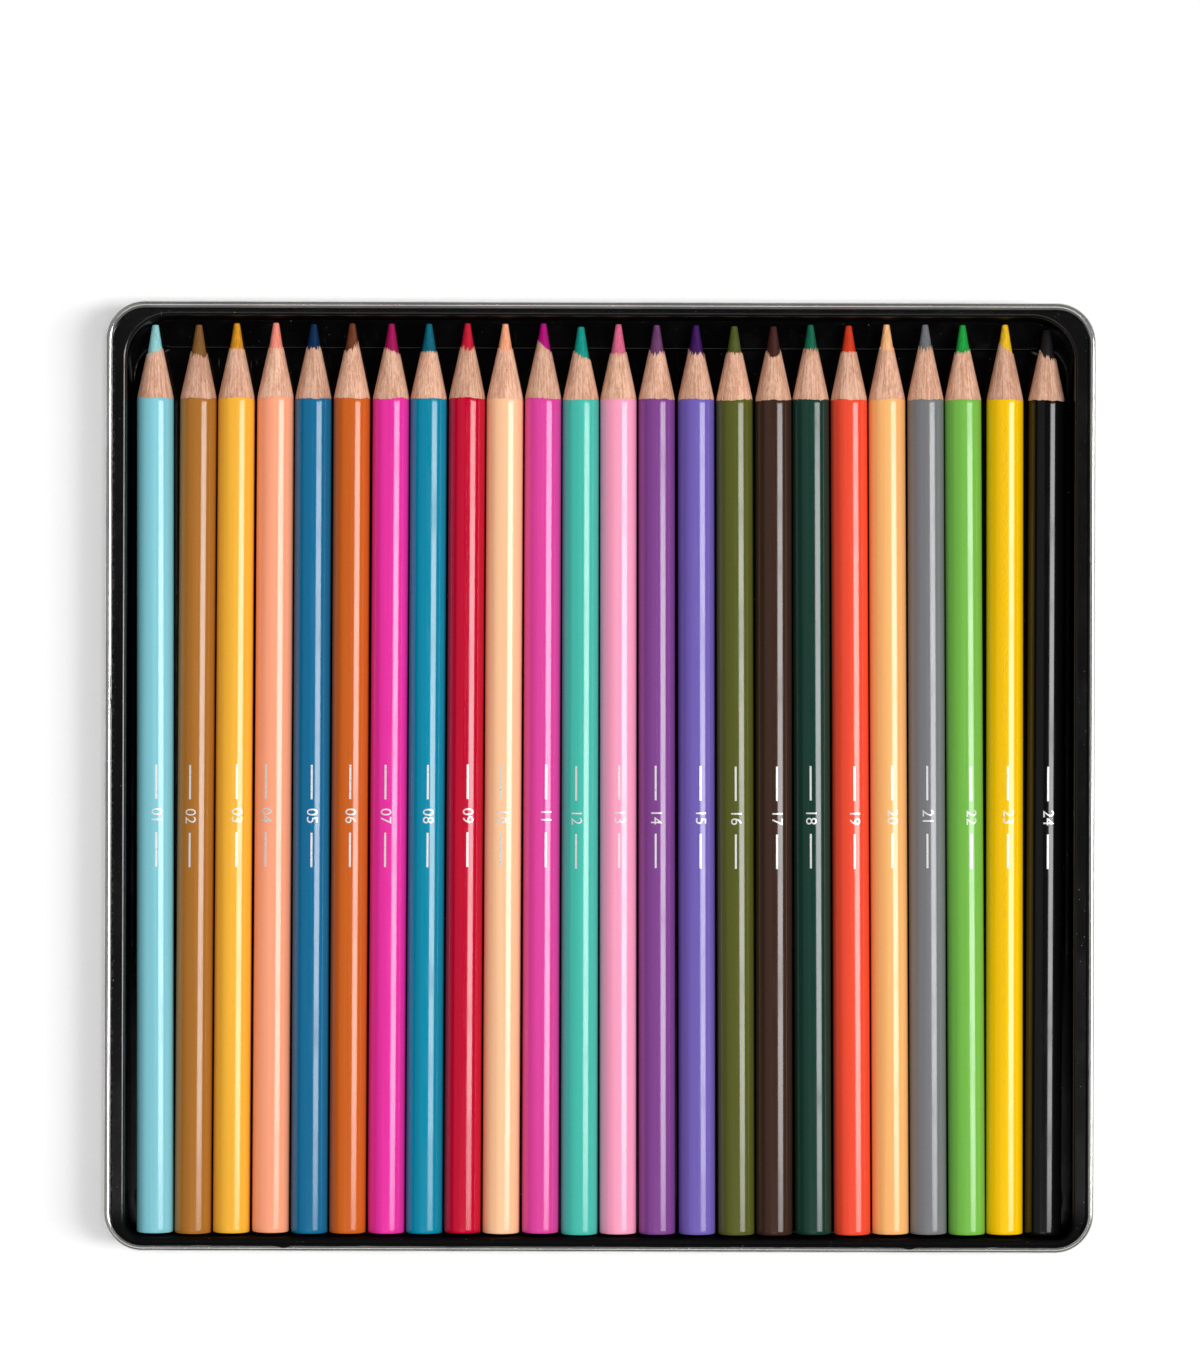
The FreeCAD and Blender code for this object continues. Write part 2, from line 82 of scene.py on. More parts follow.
def arc(centre: Point, radius: float, start: float, end: float, steps: int) -> list[Point]:
    """Points along an arc of a section.

    Args:
        centre: Middle of the arc.
        radius: Radius of the arc.
        start: First angle, in degrees.
        end: Last angle, in degrees.
        steps: Number of parts.

    Returns:
        The points, both ends included.
    """
    turns = [math.radians(start + (end - start) * step / steps) for step in range(steps + 1)]
    return [(centre[0] + radius * math.cos(turn), centre[1] + radius * math.sin(turn)) for turn in turns]


def waver(place: Vector, waves: Iterable[Point]) -> float:
    """An uneven shift at one place, summed from noise of several pitches.

    Args:
        place: Where the noise is read.
        waves: The pitch and the height of each part.

    Returns:
        The shift, either way from zero.
    """
    return sum(noise.noise(place * pitch) * height for pitch, height in waves)


class Signal:
    """A shader socket that can be used in sums."""

    def __init__(self, recipe: Recipe, socket: bpy.types.NodeSocket) -> None:
        """Keep the socket with the node tree that it belongs to."""
        self.recipe = recipe
        self.socket = socket

    def _join(self, operation: str, first: Signal | float, second: Signal | float) -> Signal:
        """Add one Math node and give its result."""
        return self.recipe.read("ShaderNodeMath", "Value", {"operation": operation}, {0: first, 1: second})

    def __add__(self, other: Signal | float) -> Signal:
        """The sum of two values."""
        return self._join("ADD", self, other)

    def __radd__(self, other: float) -> Signal:
        """The sum of a number and a value."""
        return self._join("ADD", other, self)

    def __sub__(self, other: Signal | float) -> Signal:
        """The difference of two values."""
        return self._join("SUBTRACT", self, other)

    def __rsub__(self, other: float) -> Signal:
        """A number less a value."""
        return self._join("SUBTRACT", other, self)

    def __mul__(self, other: Signal | float) -> Signal:
        """The product of two values."""
        return self._join("MULTIPLY", self, other)

    def __rmul__(self, other: float) -> Signal:
        """The product of a number and a value."""
        return self._join("MULTIPLY", other, self)


class Recipe:
    """The node tree of one material, filled node by node."""

    def __init__(self, name: str) -> None:
        """Start an empty material of that name."""
        self.material = bpy.data.materials.new(name)
        self.material.use_nodes = True
        self.tree = self.material.node_tree
        self.tree.nodes.clear()

    def node(self, kind: str, settings: dict[str, Any], sockets: dict[Any, Any]) -> bpy.types.Node:
        """Add one node.

        Args:
            kind: The node's type.
            settings: Its properties.
            sockets: A value or a link for each input that is set.

        Returns:
            The new node.
        """
        node = self.tree.nodes.new(kind)
        for key, value in settings.items():
            setattr(node, key, value)
        for key, value in sockets.items():
            if isinstance(value, Signal):
                self.tree.links.new(value.socket, node.inputs[key])
            else:
                node.inputs[key].default_value = value
        return node

    def read(self, kind: str, output: Any, settings: dict[str, Any], sockets: dict[Any, Any]) -> Signal:
        """Add one node and give one of its outputs."""
        return Signal(self, self.node(kind, settings, sockets).outputs[output])

    def place(self, scale: Sequence[float], shift: Sequence[float] = (0.0, 0.0, 0.0)) -> Signal:
        """The point on the piece, stretched and shifted for a pattern.

        Args:
            scale: Pattern units in a metre, along each axis.
            shift: Shift of the pattern, in pattern units.

        Returns:
            The stretched point.
        """
        return self.stretch(self.read("ShaderNodeTexCoord", "Object", {}, {}), scale, shift)

    def stretch(self, point: Signal, scale: Sequence[float], shift: Sequence[float]) -> Signal:
        """A point, stretched and shifted for a pattern."""
        sockets = {"Vector": point, "Scale": scale, "Location": shift}
        return self.read("ShaderNodeMapping", "Vector", {}, sockets)

    def noise(self, place: Signal, detail: float = 2.0, roughness: float = 0.5) -> Signal:
        """Soft noise of 0 to 1 at a stretched point."""
        sockets = {"Vector": place, "Scale": 1.0, "Detail": detail, "Roughness": roughness}
        return self.read("ShaderNodeTexNoise", "Fac", {}, sockets)

    def ramp(self, value: Signal, low: float, high: float) -> Signal:
        """A value spread from 0 at low to 1 at high, with soft ends."""
        sockets = {"Value": value, "From Min": low, "From Max": high}
        return self.read("ShaderNodeMapRange", "Result", {"interpolation_type": "SMOOTHSTEP"}, sockets)

    def mix(self, mask: Signal, first: Any, second: Any) -> Signal:
        """The first colour where the mask is 0 and the second where it is 1."""
        return self.read("ShaderNodeMix", 2, {"data_type": "RGBA"}, {0: mask, 6: first, 7: second})

    def bump(self, height: Signal, depth: float, strength: float = 1.0) -> Signal:
        """The normal of a surface with that relief, its depth in metres."""
        sockets = {"Height": height, "Distance": depth, "Strength": strength}
        return self.read("ShaderNodeBump", "Normal", {}, sockets)

    def surface(self, sockets: dict[str, Any]) -> Signal:
        """One Principled shader."""
        return self.read("ShaderNodeBsdfPrincipled", "BSDF", {}, sockets)

    def finish(self, sockets: dict[str, Any]) -> bpy.types.Material:
        """Close the material with one Principled shader."""
        return self.close(self.surface(sockets))

    def close(self, surface: Signal) -> bpy.types.Material:
        """Close the material with a shader."""
        self.node("ShaderNodeOutputMaterial", {}, {"Surface": surface})
        return self.material


@dataclass(frozen=True)
class Lacquer:
    """Glossy coloured lacquer, dipped in several coats over turned wood."""

    name: str
    colour: Colour

    def material(self) -> bpy.types.Material:
        """Build the lacquer.

        Returns:
            The finished material.
        """
        recipe = Recipe(self.name)
        flow = recipe.noise(recipe.place((380.0, 14.0, 380.0)), 1.0)
        peel = recipe.noise(recipe.place((900.0, 420.0, 900.0)), 1.0)
        drawn = recipe.noise(recipe.place((900.0, 8.0, 900.0)), 3.0)
        pores = recipe.ramp(recipe.noise(recipe.place((3100.0, 1900.0, 3100.0)), 1.0), 0.77, 0.80)
        toned = recipe.mix(recipe.ramp(drawn, 0.3, 0.7), linear(self.colour, 0.93), linear(self.colour, 1.05))
        colour = recipe.mix(pores * 0.35, toned, linear(self.colour, 0.45))
        prints = recipe.noise(recipe.place((260.0, 90.0, 260.0), (7.0, 3.0, 1.0)), 4.0)
        handled = recipe.ramp(prints, 0.45, 0.8)
        relief = flow + peel * 0.05 - pores * 0.3
        return recipe.finish({
            "Base Color": colour,
            "Specular IOR Level": 0.36,
            "Roughness": 0.15 + handled * 0.08,
            "Coat Weight": 0.15 - handled * 0.08,
            "Coat Roughness": 0.07,
            "Normal": recipe.bump(relief, 0.006 * MM, 0.8),
        })


@dataclass(frozen=True)
class SharpenedWood:
    """Pale casing wood cut to a cone, with pigment rubbed into it near the core."""

    name: str
    pale: Colour
    dark: Colour
    pigment: Colour
    shift: float

    def material(self) -> bpy.types.Material:
        """Build the wood.

        Returns:
            The finished material.
        """
        recipe = Recipe(self.name)
        offset = (self.shift, self.shift * 0.7, self.shift * 1.3)
        around = recipe.read("ShaderNodeAttribute", "Vector", {"attribute_name": "around"}, {})
        lines = recipe.noise(recipe.stretch(around, (8.5, 8.5, 0.09), offset), 4.0, 0.65)
        splits = recipe.ramp(recipe.noise(recipe.stretch(around, (13.0, 13.0, 0.07), offset), 1.0), 0.63, 0.7)
        fibre = recipe.noise(recipe.place((3300.0, 210.0, 3300.0), offset), 3.0, 0.65)
        bands = recipe.noise(recipe.place((640.0, 30.0, 640.0), offset), 2.0)
        pores = recipe.ramp(recipe.noise(recipe.place((3600.0, 260.0, 3600.0), offset), 1.0), 0.64, 0.71)
        cuts = recipe.noise(recipe.place((260.0, 5200.0, 260.0), offset), 2.0)
        grain = recipe.ramp(lines * 0.4 + fibre * 0.38 + bands * 0.22, 0.4, 0.6)
        wood = recipe.mix(grain, linear(self.dark), linear(self.pale))
        wood = recipe.mix(pores * 0.4 + splits * 0.4, wood, linear(self.dark, 0.55))
        rubbed = recipe.read("ShaderNodeAttribute", "Fac", {"attribute_name": "rubbed"}, {})
        flecks = recipe.noise(recipe.place((4200.0, 900.0, 4200.0), offset), 2.0)
        stain = recipe.ramp(rubbed + (flecks - 0.5) * 1.1, 0.55, 0.95)
        return recipe.finish({
            "Base Color": recipe.mix(stain * 0.8, wood, linear(self.pigment)),
            "Specular IOR Level": 0.25,
            "Roughness": 0.62 + fibre * 0.2,
            "Normal": recipe.bump(lines * 0.5 + fibre * 0.4 + cuts * 0.2 - splits * 0.5, 0.05 * MM, 0.7),
        })


@dataclass(frozen=True)
class Pigment:
    """Waxy pressed pigment of a core, scraped by the sharpener."""

    name: str
    colour: Colour

    def material(self) -> bpy.types.Material:
        """Build the pigment.

        Returns:
            The finished material.
        """
        recipe = Recipe(self.name)
        streaks = recipe.noise(recipe.place((3600.0, 300.0, 3600.0)), 3.0, 0.6)
        scrapes = recipe.noise(recipe.place((500.0, 6000.0, 500.0)), 2.0)
        crumbs = recipe.ramp(recipe.noise(recipe.place((5200.0, 5200.0, 5200.0)), 2.0), 0.6, 0.72)
        streaked = recipe.ramp(streaks, 0.3, 0.7)
        toned = recipe.mix(streaked, linear(self.colour, 0.72), linear(self.colour, 1.12))
        return recipe.finish({
            "Base Color": recipe.mix(crumbs * 0.4, toned, linear(self.colour, 1.4)),
            "Specular IOR Level": 0.25,
            "Roughness": 0.45 + streaks * 0.25,
            "Normal": recipe.bump(streaks * 0.6 + scrapes * 0.4 + crumbs * 0.3, 0.06 * MM, 0.8),
        })


@dataclass(frozen=True)
class Foil:
    """Pearly white foil, pressed on hot and slightly broken at its edges."""

    name: str
    colour: Colour

    def material(self) -> bpy.types.Material:
        """Build the foil.

        Returns:
            The finished material.
        """
        recipe = Recipe(self.name)
        gaps = recipe.ramp(recipe.noise(recipe.place((5200.0, 5200.0, 5200.0)), 2.0), 0.58, 0.7)
        sheen = recipe.noise(recipe.place((900.0, 900.0, 900.0)), 2.0)
        return recipe.finish({
            "Base Color": recipe.mix(gaps * 0.5, linear(self.colour), linear(self.colour, 0.6)),
            "Metallic": 0.25 + sheen * 0.2,
            "Roughness": 0.2 + sheen * 0.2,
            "Normal": recipe.bump(sheen - gaps, 0.01 * MM, 0.6),
        })


@dataclass(frozen=True)
class Tinplate:
    """Rolled tinplate with a clear varnish: fine rolling lines, rubbed spots and small scratches."""

    name: str
    colour: Colour

    def material(self) -> bpy.types.Material:
        """Build the tinplate.

        Returns:
            The finished material.
        """
        recipe = Recipe(self.name)
        rolled = recipe.noise(recipe.place((60.0, 5200.0, 5200.0)), 3.0, 0.6)
        cloud = recipe.noise(recipe.place((70.0, 70.0, 70.0)), 4.0)
        rubbed = recipe.ramp(recipe.noise(recipe.place((420.0, 420.0, 420.0)), 4.0, 0.65), 0.52, 0.7)
        scratches = recipe.ramp(recipe.noise(recipe.place((3400.0, 140.0, 900.0)), 1.0), 0.68, 0.73)
        clouded = recipe.ramp(cloud, 0.35, 0.65)
        toned = recipe.mix(clouded, linear(self.colour, 0.88), linear(self.colour, 1.06))
        return recipe.finish({
            "Base Color": recipe.mix(rubbed * 0.2 + scratches * 0.3, toned, linear(self.colour, 0.7)),
            "Metallic": 0.78 - rubbed * 0.05,
            "Roughness": 0.13 + rubbed * 0.04 + rolled * 0.04,
            "Normal": recipe.bump(rolled + scratches * 0.4, 0.0004 * MM, 0.5),
        })


@dataclass(frozen=True)
class BlackSheet:
    """Glossy black sheet drawn over a mould: dull where it was drawn thin, with dusty specks and scuffs on
    it, painted shade down in its well and a painted highlight line along its ledge's step.

    Each pair of places, in millimetres, is where a soft change starts and where it ends.
    """

    name: str
    colour: Colour
    # Colour of the dusty specks, scuffs and crumbs, also used for the painted highlight line along the
    # ledge's step.
    dust_and_highlight: Colour
    flange_height: Point = (9.5, 11.0)
    lip_height: Point = (10.8, 11.2)
    wall_height: Point = (2.3, 3.2)
    slope_foot: Point = (1.3, 1.5)
    slope_top: Point = (2.1, 2.2)
    # Heights of the painted highlight line along the ledge's step.
    highlight_line_height: Point = (1.85, 2.05)
    slope_start: Point = (40.0, 50.0)
    blunt_end: Point = (-86.0, -80.0)
    tip_end: Point = (86.4, 87.0)
    bed_side: Point = (82.0, 84.0)
    cut_edge: Point = (-93.1, -92.6)

    def material(self) -> bpy.types.Material:
        """Build the sheet.

        Returns:
            The finished material.
        """
        recipe = Recipe(self.name)
        peel = recipe.noise(recipe.place((420.0, 420.0, 420.0)), 2.0)
        smudges = recipe.ramp(recipe.noise(recipe.place((130.0, 130.0, 130.0)), 4.0, 0.6), 0.42, 0.72)
        specks = recipe.ramp(recipe.noise(recipe.place((2300.0, 2300.0, 2300.0)), 1.0), 0.775, 0.805)
        scuffs = recipe.ramp(recipe.noise(recipe.place((2600.0, 210.0, 1500.0)), 2.0), 0.69, 0.75)
        corner = recipe.read(
            "ShaderNodeTexGradient", "Fac", {"gradient_type": "SPHERICAL"},
            {"Vector": recipe.place((34.0, 34.0, 34.0), (3.0, -2.85, 0.0))},
        )
        place = recipe.node("ShaderNodeSeparateXYZ", {}, {"Vector": recipe.place((1000.0, 1000.0, 1000.0))})
        across, along, height = (Signal(recipe, place.outputs[axis]) for axis in "XYZ")
        flange = recipe.ramp(height, *self.flange_height)
        blunt = 1.0 - recipe.ramp(along, *self.blunt_end)
        tips = recipe.ramp(along, *self.tip_end) * (1.0 - recipe.ramp(height, *self.lip_height))
        above_foot = recipe.ramp(height, *self.slope_foot)
        below_top = 1.0 - recipe.ramp(height, *self.slope_top)
        slope = above_foot * below_top * recipe.ramp(along, *self.slope_start)
        drawn = recipe.ramp(height, *self.wall_height) * (blunt + tips) + slope
        # Painted shade: below the flange the sheet is darkened to about a tenth of its colour, standing in
        # for the shade down in the well; the flange is lifted a little.
        sheet = recipe.mix(flange, linear(self.colour, 0.12), linear(self.colour, 1.1))
        worn = recipe.ramp(corner, 0.0, 0.6) * scuffs
        inner = 1.0 - recipe.ramp(across * across, *(side ** 2 for side in self.bed_side))
        # Painted highlight: a thin pale line along the top of the ledge's step, where its edge would catch
        # the light.
        step = slope * recipe.ramp(height, *self.highlight_line_height) * inner
        crumbs = recipe.ramp(recipe.noise(recipe.place((1900.0, 1300.0, 1900.0)), 2.0), 0.5, 0.62)
        cut = (1.0 - recipe.ramp(across, *self.cut_edge)) * crumbs * flange
        # Dusty specks, scuffs, crumbs and the step line; the step line is a painted highlight.
        marks_and_painted_highlight = specks * 0.3 + worn * 0.1 + scuffs * 0.015 + step * 0.1 + cut * 0.06
        relief = recipe.bump(peel + specks * 0.4 - worn * 0.3, 0.012 * MM, 0.6)
        colour = recipe.mix(marks_and_painted_highlight, sheet, linear(self.dust_and_highlight))
        roughness = 0.16 + smudges * 0.08 + marks_and_painted_highlight * 0.3
        gloss = recipe.surface({"Base Color": colour, "Roughness": roughness, "Normal": relief})
        matt = recipe.surface({
            "Base Color": colour,
            "Specular IOR Level": 0.04,
            "Roughness": 0.7,
            "Normal": relief,
        })
        return recipe.close(recipe.read("ShaderNodeMixShader", 0, {}, {0: drawn, 1: gloss, 2: matt}))


@dataclass(frozen=True)
class PaleFloor:
    """A plain pale table that keeps the shadow of what lies on it."""

    name: str
    colour: Colour

    def material(self) -> bpy.types.Material:
        """Build the table's surface.

        Returns:
            The finished material.
        """
        recipe = Recipe(self.name)
        paper = recipe.noise(recipe.place((900.0, 900.0, 900.0)), 2.0)
        return recipe.finish({
            "Base Color": recipe.mix(paper, linear(self.colour, 0.99), linear(self.colour, 1.01)),
            "Specular IOR Level": 0.0,
            "Roughness": 0.9,
        })


def chain(mesh: bmesh.types.BMesh, points: Iterable[Sequence[float]], closed: bool = False) -> list[Any]:
    """Start a section: a row of vertices joined by edges.

    Args:
        mesh: The mesh to start in.
        points: The places of the vertices.
        closed: Whether the last vertex joins the first.

    Returns:
        The vertices and edges.
    """
    verts = [mesh.verts.new(point) for point in points]
    pairs = list(zip(verts, verts[1:]))
    if closed:
        pairs.append((verts[-1], verts[0]))
    return verts + [mesh.edges.new(pair) for pair in pairs]


def carry_round(
    mesh: bmesh.types.BMesh,
    section: Sequence[Point],
    half: Point,
    radii: Sequence[float],
    side_steps: int,
    corner_steps: int,
) -> list[bmesh.types.BMVert]:
    """Carry a section round a rectangle with round corners.

    Args:
        mesh: The mesh to build in.
        section: Points as the inset from the rectangle and the height.
        half: Half the width and half the depth of the rectangle.
        radii: Corner radii: right back, left back, left front, right front.
        side_steps: Parts of each straight side.
        corner_steps: Parts of each corner.

    Returns:
        All the vertices of the ring.
    """
    before = set(mesh.verts)
    corners = [
        Vector((across * (half[0] - radius), along * (half[1] - radius), 0.0))
        for (across, along), radius in zip(((1, 1), (-1, 1), (-1, -1), (1, -1)), radii)
    ]
    places = [(half[0] - inset, corners[-1].y, height) for inset, height in section]
    last = chain(mesh, places)
    ways = ((0.0, 1.0, 0.0), (-1.0, 0.0, 0.0), (0.0, -1.0, 0.0), (1.0, 0.0, 0.0))
    for number, (corner, way) in enumerate(zip(corners, ways)):
        run = abs((corner - corners[number - 1]).dot(Vector(way)))
        step = Vector(way) * (run / side_steps)
        side = bmesh.ops.spin(mesh, geom=last, angle=0.0, steps=side_steps, dvec=step, axis=(0, 0, 1))
        bend = bmesh.ops.spin(
            mesh, geom=side["geom_last"], cent=corner, axis=(0, 0, 1), angle=math.pi / 2, steps=corner_steps
        )
        last = bend["geom_last"]
    ring = [vert for vert in mesh.verts if vert not in before]
    bmesh.ops.remove_doubles(mesh, verts=ring, dist=MERGE_REACH)
    return [vert for vert in mesh.verts if vert not in before]


def edges_at(mesh: bmesh.types.BMesh, height: float) -> list[bmesh.types.BMEdge]:
    """The open edges of a mesh that lie at one height."""
    return [
        edge for edge in mesh.edges
        if len(edge.link_faces) < 2 and all(abs(vert.co.z - height) < MERGE_REACH for vert in edge.verts)
    ]


def place_piece(
    name: str,
    mesh: bmesh.types.BMesh,
    materials: Sequence[bpy.types.Material],
    body: str,
) -> bpy.types.Object:
    """Turn a mesh in millimetres into a smooth piece that rides on a body.

    Args:
        name: The piece's name.
        mesh: Its mesh, which is used up.
        materials: Its materials, in the order of its faces' numbers.
        body: The body that it moves with.

    Returns:
        The new piece.
    """
    bmesh.ops.scale(mesh, vec=(MM, MM, MM), verts=mesh.verts)
    for face in mesh.faces:
        face.smooth = True
    for edge in mesh.edges:
        edge.smooth = len(edge.link_faces) == 2 and edge.calc_face_angle() < SHARP_EDGE
    data = bpy.data.meshes.new(name)
    mesh.to_mesh(data)
    mesh.free()
    for material in materials:
        data.materials.append(material)
    piece = bpy.data.objects.new(name, data)
    bpy.context.scene.collection.objects.link(piece)
    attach(piece, body)
    LOG.info("%s: %d faces", name, len(data.polygons))
    return piece


@dataclass
class TinBox:
    """The drawn tin: a bend at its foot, a raised bottom panel and a rim curled inwards. In millimetres."""

    sheet: float = 0.3
    corner: float = 7.5
    bend: float = 1.5
    bead: float = 0.675
    floor_ring: float = 5.4
    panel_inset: float = 7.0
    panel_rise: float = 0.5
    bend_steps: tuple[int, int] = (8, 6)
    curl_steps: tuple[int, int] = (30, 18)
    side_steps: int = 24
    corner_steps: int = 14
    finish: Tinplate = Tinplate("varnished_tinplate", (210.0, 209.0, 206.0))

    def section(self, height: float) -> list[Point]:
        """The wall's outline from the floor's underside, round the curl and back to the floor's top.

        Args:
            height: The tin's height.

        Returns:
            Points as inset and height.
        """
        crown = (self.bead, height - self.bead)
        foot = (self.bend, self.bend)
        outside = [(self.floor_ring, 0.0), *arc(foot, self.bend, 270.0, 180.0, self.bend_steps[0])]
        curl = arc(crown, self.bead, 180.0, -90.0, self.curl_steps[0])
        hollow = arc(crown, self.bead - self.sheet, -90.0, 180.0, self.curl_steps[1])
        inside = arc(foot, self.bend - self.sheet, 180.0, 270.0, self.bend_steps[1])
        return [*outside, *curl, *hollow, *inside, (self.floor_ring, self.sheet)]

    def build(self) -> bpy.types.Object:
        """Build the tin in place of its CAD solid.

        Returns:
            The tin.
        """
        low, high = (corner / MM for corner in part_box("tin_box"))
        half = ((high.x - low.x) / 2, (high.y - low.y) / 2)
        mesh = bmesh.new()
        corners = (self.corner,) * 4
        carry_round(mesh, self.section(high.z - low.z), half, corners, self.side_steps, self.corner_steps)
        inner = (half[0] - self.panel_inset, half[1] - self.panel_inset)
        for level in (0.0, self.sheet):
            slope = [(0.0, level), (self.panel_rise, level + self.panel_rise)]
            carry_round(mesh, slope, inner, corners, self.side_steps, self.corner_steps)
            bmesh.ops.bridge_loops(mesh, edges=edges_at(mesh, level))
            bmesh.ops.edgeloop_fill(mesh, edges=edges_at(mesh, level + self.panel_rise))
        bmesh.ops.remove_doubles(mesh, verts=mesh.verts, dist=MERGE_REACH)
        bmesh.ops.recalc_face_normals(mesh, faces=mesh.faces)
        tin = place_piece("tin_shell", mesh, [self.finish.material()], "tin")
        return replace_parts(tin, "tin_box")


@dataclass
class PencilTray:
    """The formed tray: a flange, a well, a ledge, a flat bed and a cradle of grooves. In millimetres."""

    sheet: float = 0.4
    flange_side: float = 2.45
    flange_end: float = 0.9
    tin_corner: float = 7.5
    tip_corner: float = 8.3
    blunt_corner: float = 3.0
    lip: float = 0.75
    draft: float = 0.263
    land: float = 2.2
    groove_floor: float = 1.2
    groove_radius: float = 5.2
    pitch: float = 7.43
    count: int = 24
    cradle_start: float = -88.3
    cradle_rows: Point = (-87.96, -87.9)
    cradle_end: float = -33.04
    bed_end: float = 82.34
    bed_half: float = 89.295
    bed_corner: float = 6.0
    edge_blend: float = 0.22
    corner_blend: float = 1.1
    border: Point = (89.95, 82.85)
    foot_round: float = 0.03
    tip_set_back: float = 0.4
    lip_steps: int = 8
    side_steps: int = 300
    corner_steps: int = 20
    floor_columns: int = 312
    edge_rows: int = 3
    cradle_parts: int = 6
    bed_parts: int = 8
    corner_lead: float = 1.0
    corner_row: float = 0.4
    corner_rows: int = 16
    rim: tuple[Point, ...] = ((1.62, 0.0), (1.433, 0.262), (1.237, 0.387), (1.054, 0.431))
    plain_rim: tuple[Point, ...] = ((1.62, 0.0), (1.6, 0.0), (1.58, -0.004), (1.555, -0.012))
    rim_share: tuple[float, ...] = (1.0, 0.5, 0.25, 0.08)
    plain_from: Point = (0.05, 0.55)
    ragged: float = 0.07
    ragged_lift: float = 0.2
    waves: tuple[Point, ...] = ((0.09, 0.8), (0.9, 0.7), (2.3, 0.4))
    nick_pitch: float = 0.55
    nick_shift: tuple[float, float, float] = (31.0, 7.0, 2.0)
    nick_from: float = 0.42
    nick_gain: float = 5.0
    torn_middle: float = 12.0
    torn_length: float = 9.0
    torn_gain: float = 3.5
    tabs: tuple[float, ...] = (-60.1, 59.3)
    tab_length: float = 0.9
    tab_reach: Point = (0.42, 0.11)
    mouth: Point = field(init=False, default=(0.0, 0.0))
    finish: BlackSheet = BlackSheet("formed_black_sheet", (13.0, 13.0, 14.0), (190.0, 190.0, 188.0))

    def floor_height(self, across: float, along: float) -> float:
        """Height of the tray's floor at one place.

        Args:
            across: Place across the pencils.
            along: Place along the pencils.

        Returns:
            The height of the sheet's top there.
        """
        middle = (self.cradle_end + self.bed_end) / 2
        half = (self.bed_end - self.cradle_end) / 2
        corner = self.bed_corner if along > middle else self.edge_blend
        reach = Vector((abs(across) - self.bed_half + corner, abs(along - middle) - half + corner))
        past_round = Vector((max(reach.x, 0.0), max(reach.y, 0.0))).length
        outside = past_round + min(max(reach), 0.0) - corner
        blend = self.edge_blend + self.corner_blend * max(min(reach), 0.0) / corner
        bed = self.groove_floor + (self.land - self.groove_floor) * self.ease(outside, blend)
        cell = across / self.pitch + self.count / 2
        offset = (cell - math.floor(cell) - 0.5) * self.pitch
        groove = self.groove_floor + self.groove_radius - math.sqrt(self.groove_radius ** 2 - offset ** 2)
        past = max(self.cradle_start - along, along - self.cradle_end, abs(across) - self.bed_half)
        cradle = min(groove, self.land)
        return min(bed, cradle + (self.land - cradle) * self.ease(past, self.edge_blend))

    def ease(self, reach: float, blend: float) -> float:
        """A soft step from 0 inside an edge to 1 outside it."""
        share = min(max(reach / (2 * blend) + 0.5, 0.0), 1.0)
        return share * share * (3 - 2 * share)

    def rows(self) -> list[float]:
        """Places along the pencils where the floor needs a row of vertices.

        Returns:
            The places, in order.
        """
        fine = [step * self.edge_blend / 2 for step in range(-self.edge_rows, self.edge_rows + 1)]
        rows = [*self.cradle_rows, *(self.cradle_end + step for step in fine)]
        round_start = self.bed_end - self.bed_corner
        rows += [round_start - self.corner_lead + step * self.corner_row for step in range(self.corner_rows)]
        rows += [self.bed_end + step for step in fine]
        span = (self.cradle_end - self.cradle_rows[1]) / self.cradle_parts
        rows += [self.cradle_rows[1] + span * step for step in range(1, self.cradle_parts)]
        span = (round_start - self.cradle_end) / self.bed_parts
        rows += [self.cradle_end + span * step for step in range(1, self.bed_parts)]
        return sorted({round(row, 3) for row in [*rows, self.border[1]]})

    def add_floor(self, mesh: bmesh.types.BMesh) -> None:
        """Add the floor as a grid, shaped to the ledge, the bed and the grooves.

        Args:
            mesh: The mesh to build in.
        """
        rows = self.rows()
        grid = bmesh.ops.create_grid(
            mesh, x_segments=self.floor_columns, y_segments=len(rows) - 1, size=1.0
        )["verts"]
        levels = sorted({round(vert.co.y, ROW_DIGITS) for vert in grid})
        for vert in grid:
            across = vert.co.x * self.border[0]
            along = rows[levels.index(round(vert.co.y, ROW_DIGITS))]
            edge = abs(vert.co.x) > 1 - MERGE_REACH or along in (rows[0], rows[-1])
            vert.co = (across, along, self.land if edge else self.floor_height(across, along))
        spare = [vert for vert in grid if self.past_corner(vert.co)]
        kept = set(grid) - set(spare)
        bmesh.ops.delete(mesh, geom=spare, context="VERTS")
        for vert in kept:
            if vert.is_boundary:
                vert.co.z = self.land

    def past_corner(self, place: Vector) -> bool:
        """Whether a place on the floor's grid lies past one of the well's round corners.

        Args:
            place: The place.

        Returns:
            True if the well's wall cuts it off.
        """
        radius, set_back = (self.tip_corner, self.tip_set_back) if place.y > 0 else (self.blunt_corner, 0.0)
        depth = abs(place.y) - self.mouth[1] + radius + set_back
        past = Vector((abs(place.x) - self.mouth[0] + radius, depth))
        return min(past) > 0 and past.length > radius - self.draft - 2 * self.foot_round

    def stray(self, place: Vector, out: Vector) -> float:
        """How far the rim's cut edge strays at one place.

        Args:
            place: The place on the rim.
            out: The way outwards there.

        Returns:
            The stray, outwards if positive.
        """
        nick = max(noise.noise(place * self.nick_pitch + Vector(self.nick_shift)) - self.nick_from, 0.0)
        reach = (place.y - self.torn_middle) / self.torn_length
        torn = 1.0 + self.torn_gain * max(-out.x, 0.0) * math.exp(-reach ** 2)
        return torn * self.ragged * (waver(place, self.waves) - nick * self.nick_gain)

    def tab(self, place: Vector, out: Vector) -> float:
        """How much a place on the rim belongs to one of the small tabs at the blunt ends, from 0 to 1."""
        near = sum(math.exp(-((place.x - middle) / self.tab_length) ** 2) for middle in self.tabs)
        return near * max(-out.y, 0.0)

